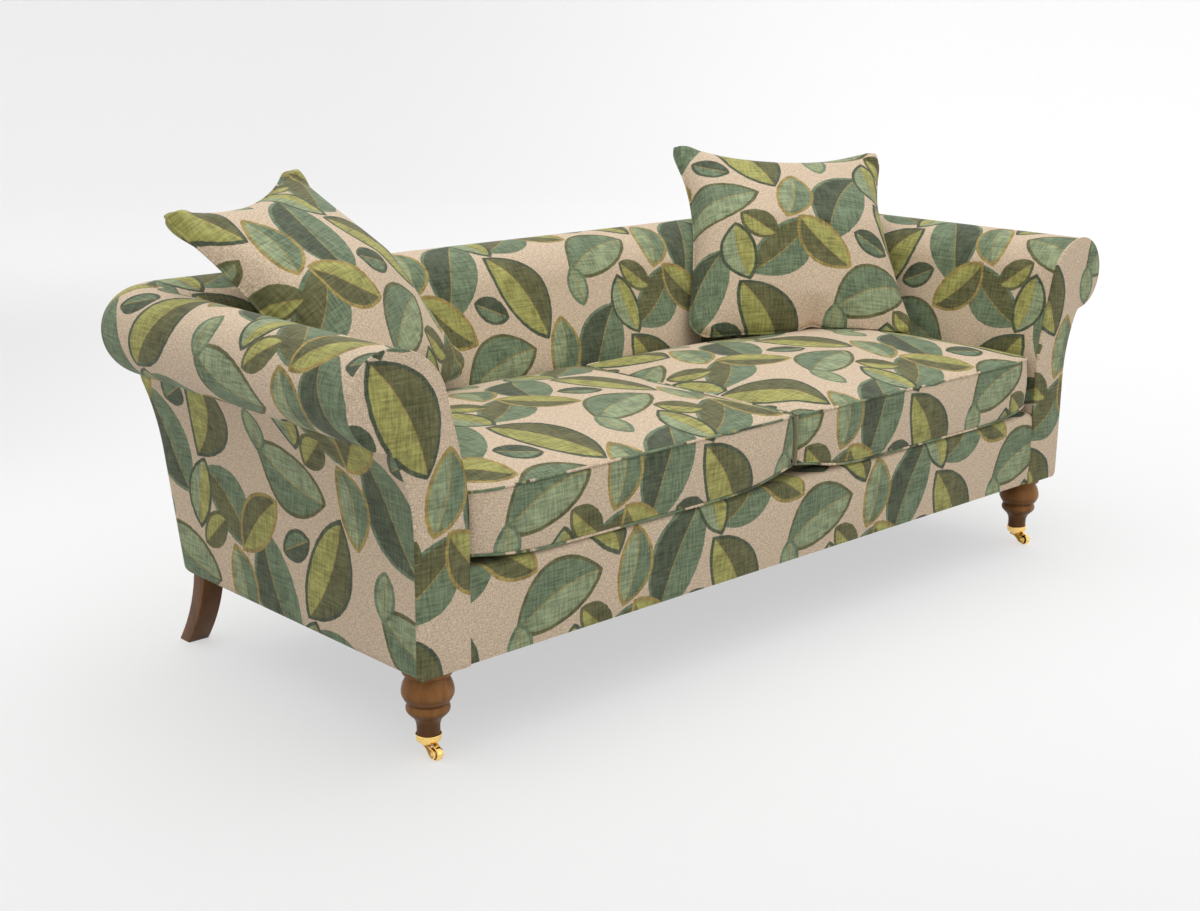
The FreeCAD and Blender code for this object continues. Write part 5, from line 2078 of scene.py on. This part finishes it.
    def sew_rims(self, outline: np.ndarray, side: Side) -> None:
        """The raised edge of each arm and the eye round its axle.

        Args:
            outline: the arm's outline.
            side: which castor.
        """
        angles = round_angles(28)
        eye = np.column_stack([np.cos(angles), np.sin(angles)]) * self.eye_radius
        eye = eye + np.array([self.trail, self.axle_height])
        lines = {"rim": outline + inward(outline) * self.rim_inset, "eye": eye}
        for label, flat in lines.items():
            for hand, word in ((-1, "near"), (1, "far")):
                depth = np.full(len(flat), hand * self.arm_outer)
                seam = self.place(np.column_stack([flat[:, 0], depth, flat[:, 1]]), side)
                name = "_".join([side.label, "castor", word, label])
                age_and_shade = np.zeros_like(flat)
                bead = self.piping.sew(name, seam, age_and_shade, self.rim_radius, self.finish, sides=8)
                declare(bead, side.label + "_castor_swivel", Slot.BRASS)


@dataclass(frozen=True)
class SabreLeg:
    """A square rear leg that sweeps back towards the floor, with its edges eased."""

    finish: bpy.types.Material
    x: float = 0.913
    width: float = 0.046
    top: float = 0.169
    top_front: float = 0.267
    top_back: float = 0.308
    foot_front: float = 0.343
    foot_back: float = 0.379
    sweep: float = 0.014
    ease: float = 0.0025
    # painted shade: the rear legs darkened evenly all over
    painted_shade: float = 0.45
    levels: int = 22

    def build(self, side: Side) -> bpy.types.Object:
        """Sweeps an eased square down the leg.

        Args:
            side: which leg.

        Returns:
            The leg.
        """
        down = np.linspace(0, 1, self.levels)
        curve = 4 * self.sweep * down * (1 - down)
        front = self.top_front + (self.foot_front - self.top_front) * down - curve
        back = self.top_back + (self.foot_back - self.top_back) * down - curve
        height = self.top * (1 - down)
        rows = []
        for near, far, level in zip(front, back, height):
            ring = self.eased_square(near, far) + np.array([side.value * self.x, 0.0])
            rows.append(np.column_stack([ring, np.full(len(ring), level)]))
        points = np.stack(rows)
        # the same painted shade all down the leg, for the walnut finish
        shade_amount = np.full(points.shape[:2], self.painted_shade)
        surface = Surface()
        surface.grid(points, np.stack([points[..., 0], shade_amount], axis=-1), closed=True)
        for end in (0, -1):
            surface.cap(points[end], points[end][:, :2])
        piece = surface.build(side.label + "_sabre_leg", self.finish, 50.0)
        return declare(piece, BODY, Slot.WALNUT, side.label + "_rear_leg")

    def eased_square(self, near: float, far: float) -> np.ndarray:
        """One level of the leg, with rounded corners.

        Args:
            near: where its front is.
            far: where its back is.

        Returns:
            The level's outline.
        """
        half = self.width / 2
        centres = [(half, far, 0), (-half, far, 90), (-half, near, 180), (half, near, 270)]
        ring = []
        for x, y, start in centres:
            inset = self.ease if y == far else -self.ease
            middle = np.array([x - math.copysign(self.ease, x), y - inset])
            for angle in np.radians(np.linspace(start, start + 90, 5)):
                ring.append(middle + self.ease * np.array([math.cos(angle), math.sin(angle)]))
        return np.array(ring)


@dataclass(frozen=True)
class Lamp:
    """A square soft light: its place and size in metres, and its power in watts."""

    name: str
    place: tuple[float, float, float]
    power: float
    size: float = 3.0


@dataclass(frozen=True)
class Studio:
    """A pale sweep of floor and backdrop, soft light and the camera."""

    eye: tuple[float, float, float] = (-2.5486, -2.5710, 1.2692)
    yaw: float = 43.410
    pitch: float = 15.063
    roll: float = 0.506
    lens: float = 50.885
    sensor: float = 36.0
    floor_tone: float = 0.35
    floor_bounce: float = 0.62
    near_glow: float = 0.46
    deep_glow: float = 0.085
    right_glow: float = 0.13
    left_shade: float = 0.11
    air: float = 1.25
    middle_ring: float = 4.5
    flat_radius: float = 7.2
    cove: float = 2.0
    wall_top: float = 7.0
    aim: tuple[float, float, float] = (0.0, 0.0, 0.4)
    lamps: tuple[Lamp, ...] = (
        Lamp("front_light", (0.3, -4.6, 1.6), 16.0),
        Lamp("side_light", (-4.6, 0.9, 1.8), 5.0),
        Lamp("top_light", (0.6, 0.4, 4.6), 32.0),
    )

    def add_camera(self) -> None:
        """The camera, where the photograph was taken from."""
        yaw, pitch, roll = (math.radians(a) for a in (self.yaw, self.pitch, self.roll))
        ahead = Vector((math.sin(yaw) * math.cos(pitch), math.cos(yaw) * math.cos(pitch), -math.sin(pitch)))
        level = Vector((math.cos(yaw), -math.sin(yaw), 0))
        above = level.cross(ahead)
        right = level * math.cos(roll) + above * math.sin(roll)
        up = above * math.cos(roll) - level * math.sin(roll)
        data = bpy.data.cameras.new("camera")
        data.lens = self.lens
        data.sensor_width = self.sensor
        data.sensor_fit = "HORIZONTAL"
        camera = bpy.data.objects.new("camera", data)
        turn = Matrix((right, up, -ahead)).transposed().to_4x4()
        camera.matrix_world = Matrix.Translation(self.eye) @ turn
        bpy.context.scene.collection.objects.link(camera)
        bpy.context.scene.camera = camera

    @staticmethod
    def rise(value: Wire, low: float, high: float) -> Wire:
        """Rises smoothly from 0 to 1 between two values."""
        sockets = {"Value": value, "From Min": low, "From Max": high}
        return value.recipe.add("ShaderNodeMapRange", {"interpolation_type": "SMOOTHSTEP"}, sockets)

    def floor_finish(self) -> bpy.types.Material:
        """A matt floor, as pale to the camera as the backdrop in the photograph.

        Returns:
            The floor's material.
        """
        recipe = Recipe("studio_floor")
        place = recipe.place()
        far = recipe.add("ShaderNodeVectorMath", {"operation": "LENGTH"}, {0: place}, 1)
        reach = self.rise(far, 1.0, 6.0)
        x, y = recipe.parts(place)
        cosine = math.cos(math.radians(self.yaw))
        sine = math.sin(math.radians(self.yaw))
        across = x * cosine - y * sine
        inwards = x * sine + y * cosine
        right = self.rise(across, -2.2, 2.4)
        deep = self.rise(inwards, -2.2, -0.2)
        left = (1 - self.rise(across, -2.4, -0.7)) * self.rise(inwards, 0.0, 1.5)
        left = left * (1 - self.rise(inwards, 2.5, 5.0)) * self.left_shade
        glow = self.near_glow + deep * self.deep_glow + reach * right * self.right_glow - left
        path = recipe.tree.nodes.new("ShaderNodeLightPath")
        rays = ("Is Camera Ray", "Is Glossy Ray", "Is Transmission Ray")
        seen = [Wire(recipe, path.outputs[name]) for name in rays]
        shown = seen[0].math("MAXIMUM", seen[1]).math("MAXIMUM", seen[2])
        light = recipe.grey(glow * shown)
        tone = recipe.grey(self.floor_bounce + seen[0] * (self.floor_tone - self.floor_bounce))
        return recipe.shade(Base_Color=tone, Roughness=0.9, Emission_Color=light, Emission_Strength=1.0)

    def add_floor(self) -> None:
        """A wide floor that turns up into a backdrop far behind."""
        steps = [(0.0, 0.0), (self.middle_ring, 0.0), (self.flat_radius, 0.0)]
        for bend in np.radians(np.linspace(10, 90, 9)):
            out = self.flat_radius + self.cove * math.sin(bend)
            steps.append((out, self.cove * (1 - math.cos(bend))))
        steps.append((self.flat_radius + self.cove, self.wall_top))
        angles = round_angles(96)
        points = np.array([[(r * math.cos(a), r * math.sin(a), z) for a in angles] for r, z in steps])
        surface = Surface()
        surface.grid(points, points[..., :2], closed=True)
        floor = surface.build("studio_floor", self.floor_finish(), 180.0)
        floor.data.flip_normals()

    def add_light(self, lamp: Lamp) -> None:
        """Hangs a lamp so that it looks at the sofa.

        Args:
            lamp: the lamp.
        """
        data = bpy.data.lights.new(lamp.name, "AREA")
        data.energy = lamp.power
        data.shape = "SQUARE"
        data.size = lamp.size
        hung = bpy.data.objects.new(lamp.name, data)
        hung.location = lamp.place
        ahead = Vector(self.aim) - Vector(lamp.place)
        hung.rotation_euler = ahead.to_track_quat("-Z", "Y").to_euler()
        bpy.context.scene.collection.objects.link(hung)

    def build(self) -> None:
        """Sets up the whole studio."""
        scene = bpy.context.scene
        scene.view_settings.view_transform = "Standard"
        world = bpy.data.worlds.new("studio_air")
        world.use_nodes = True
        world.node_tree.nodes["Background"].inputs["Color"].default_value = (1.0, 1.0, 1.0, 1.0)
        world.node_tree.nodes["Background"].inputs["Strength"].default_value = self.air
        scene.world = world
        self.add_floor()
        for lamp in self.lamps:
            self.add_light(lamp)
        self.add_camera()


SCATTER_PLACES = {
    Side.LEFT: ScatterPlace((-0.694, 0.171, 0.7060), 29.0, 42.3, 4.4, (0.11, 0.23)),
    Side.RIGHT: ScatterPlace((0.665, 0.152, 0.6990), -31.4, 41.5, -3.3, (0.33, 0.05)),
}
SEAT_PRESS = ClothPress(pressure=2.0, stiffness=25.0, frames=14)
SCATTER_PRESS = ClothPress(pressure=3.0, stiffness=15.0, frames=10)


def dress_frame(frame: dict, walnut: bpy.types.Material, brass: bpy.types.Material) -> None:
    """Gives each CAD node that stays its finish, by the record's slot.

    Args:
        walnut: the legs' finish.
        brass: the castors' finish.
    """
    finishes = {slot.value: finish.make() for slot, finish in FRAME_FINISHES.items()}
    finishes[Slot.WALNUT.value] = walnut
    finishes[Slot.BRASS.value] = brass
    finishes[Slot.CLOTH.value] = finishes[Slot.LINING.value]
    slots = {row["node"]: row["material_slot"] for row in frame["record"]["subparts"]}
    for name, node in frame["nodes"].items():
        node.data.materials.clear()
        node.data.materials.append(finishes[slots[name]])
    LOG.info("%d frame nodes dressed", len(frame["nodes"]))


def main() -> None:
    """Builds the sofa's covers, cushions, legs and studio in order."""
    logging.basicConfig(level=logging.INFO, format="%(name)s: %(message)s")
    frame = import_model()
    cloth = LeafPrintCloth().make()
    walnut = WalnutStain().make()
    brass = PolishedBrass().make()
    dress_frame(frame, walnut, brass)
    piping = PipingTree()
    Studio().build()
    carcass = Carcass(cloth, piping)
    carcass.build_back()
    scatter = ScatterCushion(cloth, piping, carcass)
    for side in Side:
        carcass.build_arm(side)
        carcass.build_facing(side)
        seat = SeatCushion(cloth, piping).build(side, SEAT_PRESS)
        scatter.build(side, SCATTER_PLACES[side], SCATTER_PRESS, seat)
        TurnedLeg(walnut).build(side)
        Castor(brass, piping).build(side)
        SabreLeg(walnut).build(side)
    FrontBorder(cloth).build()


if __name__ == "__main__":
    main()
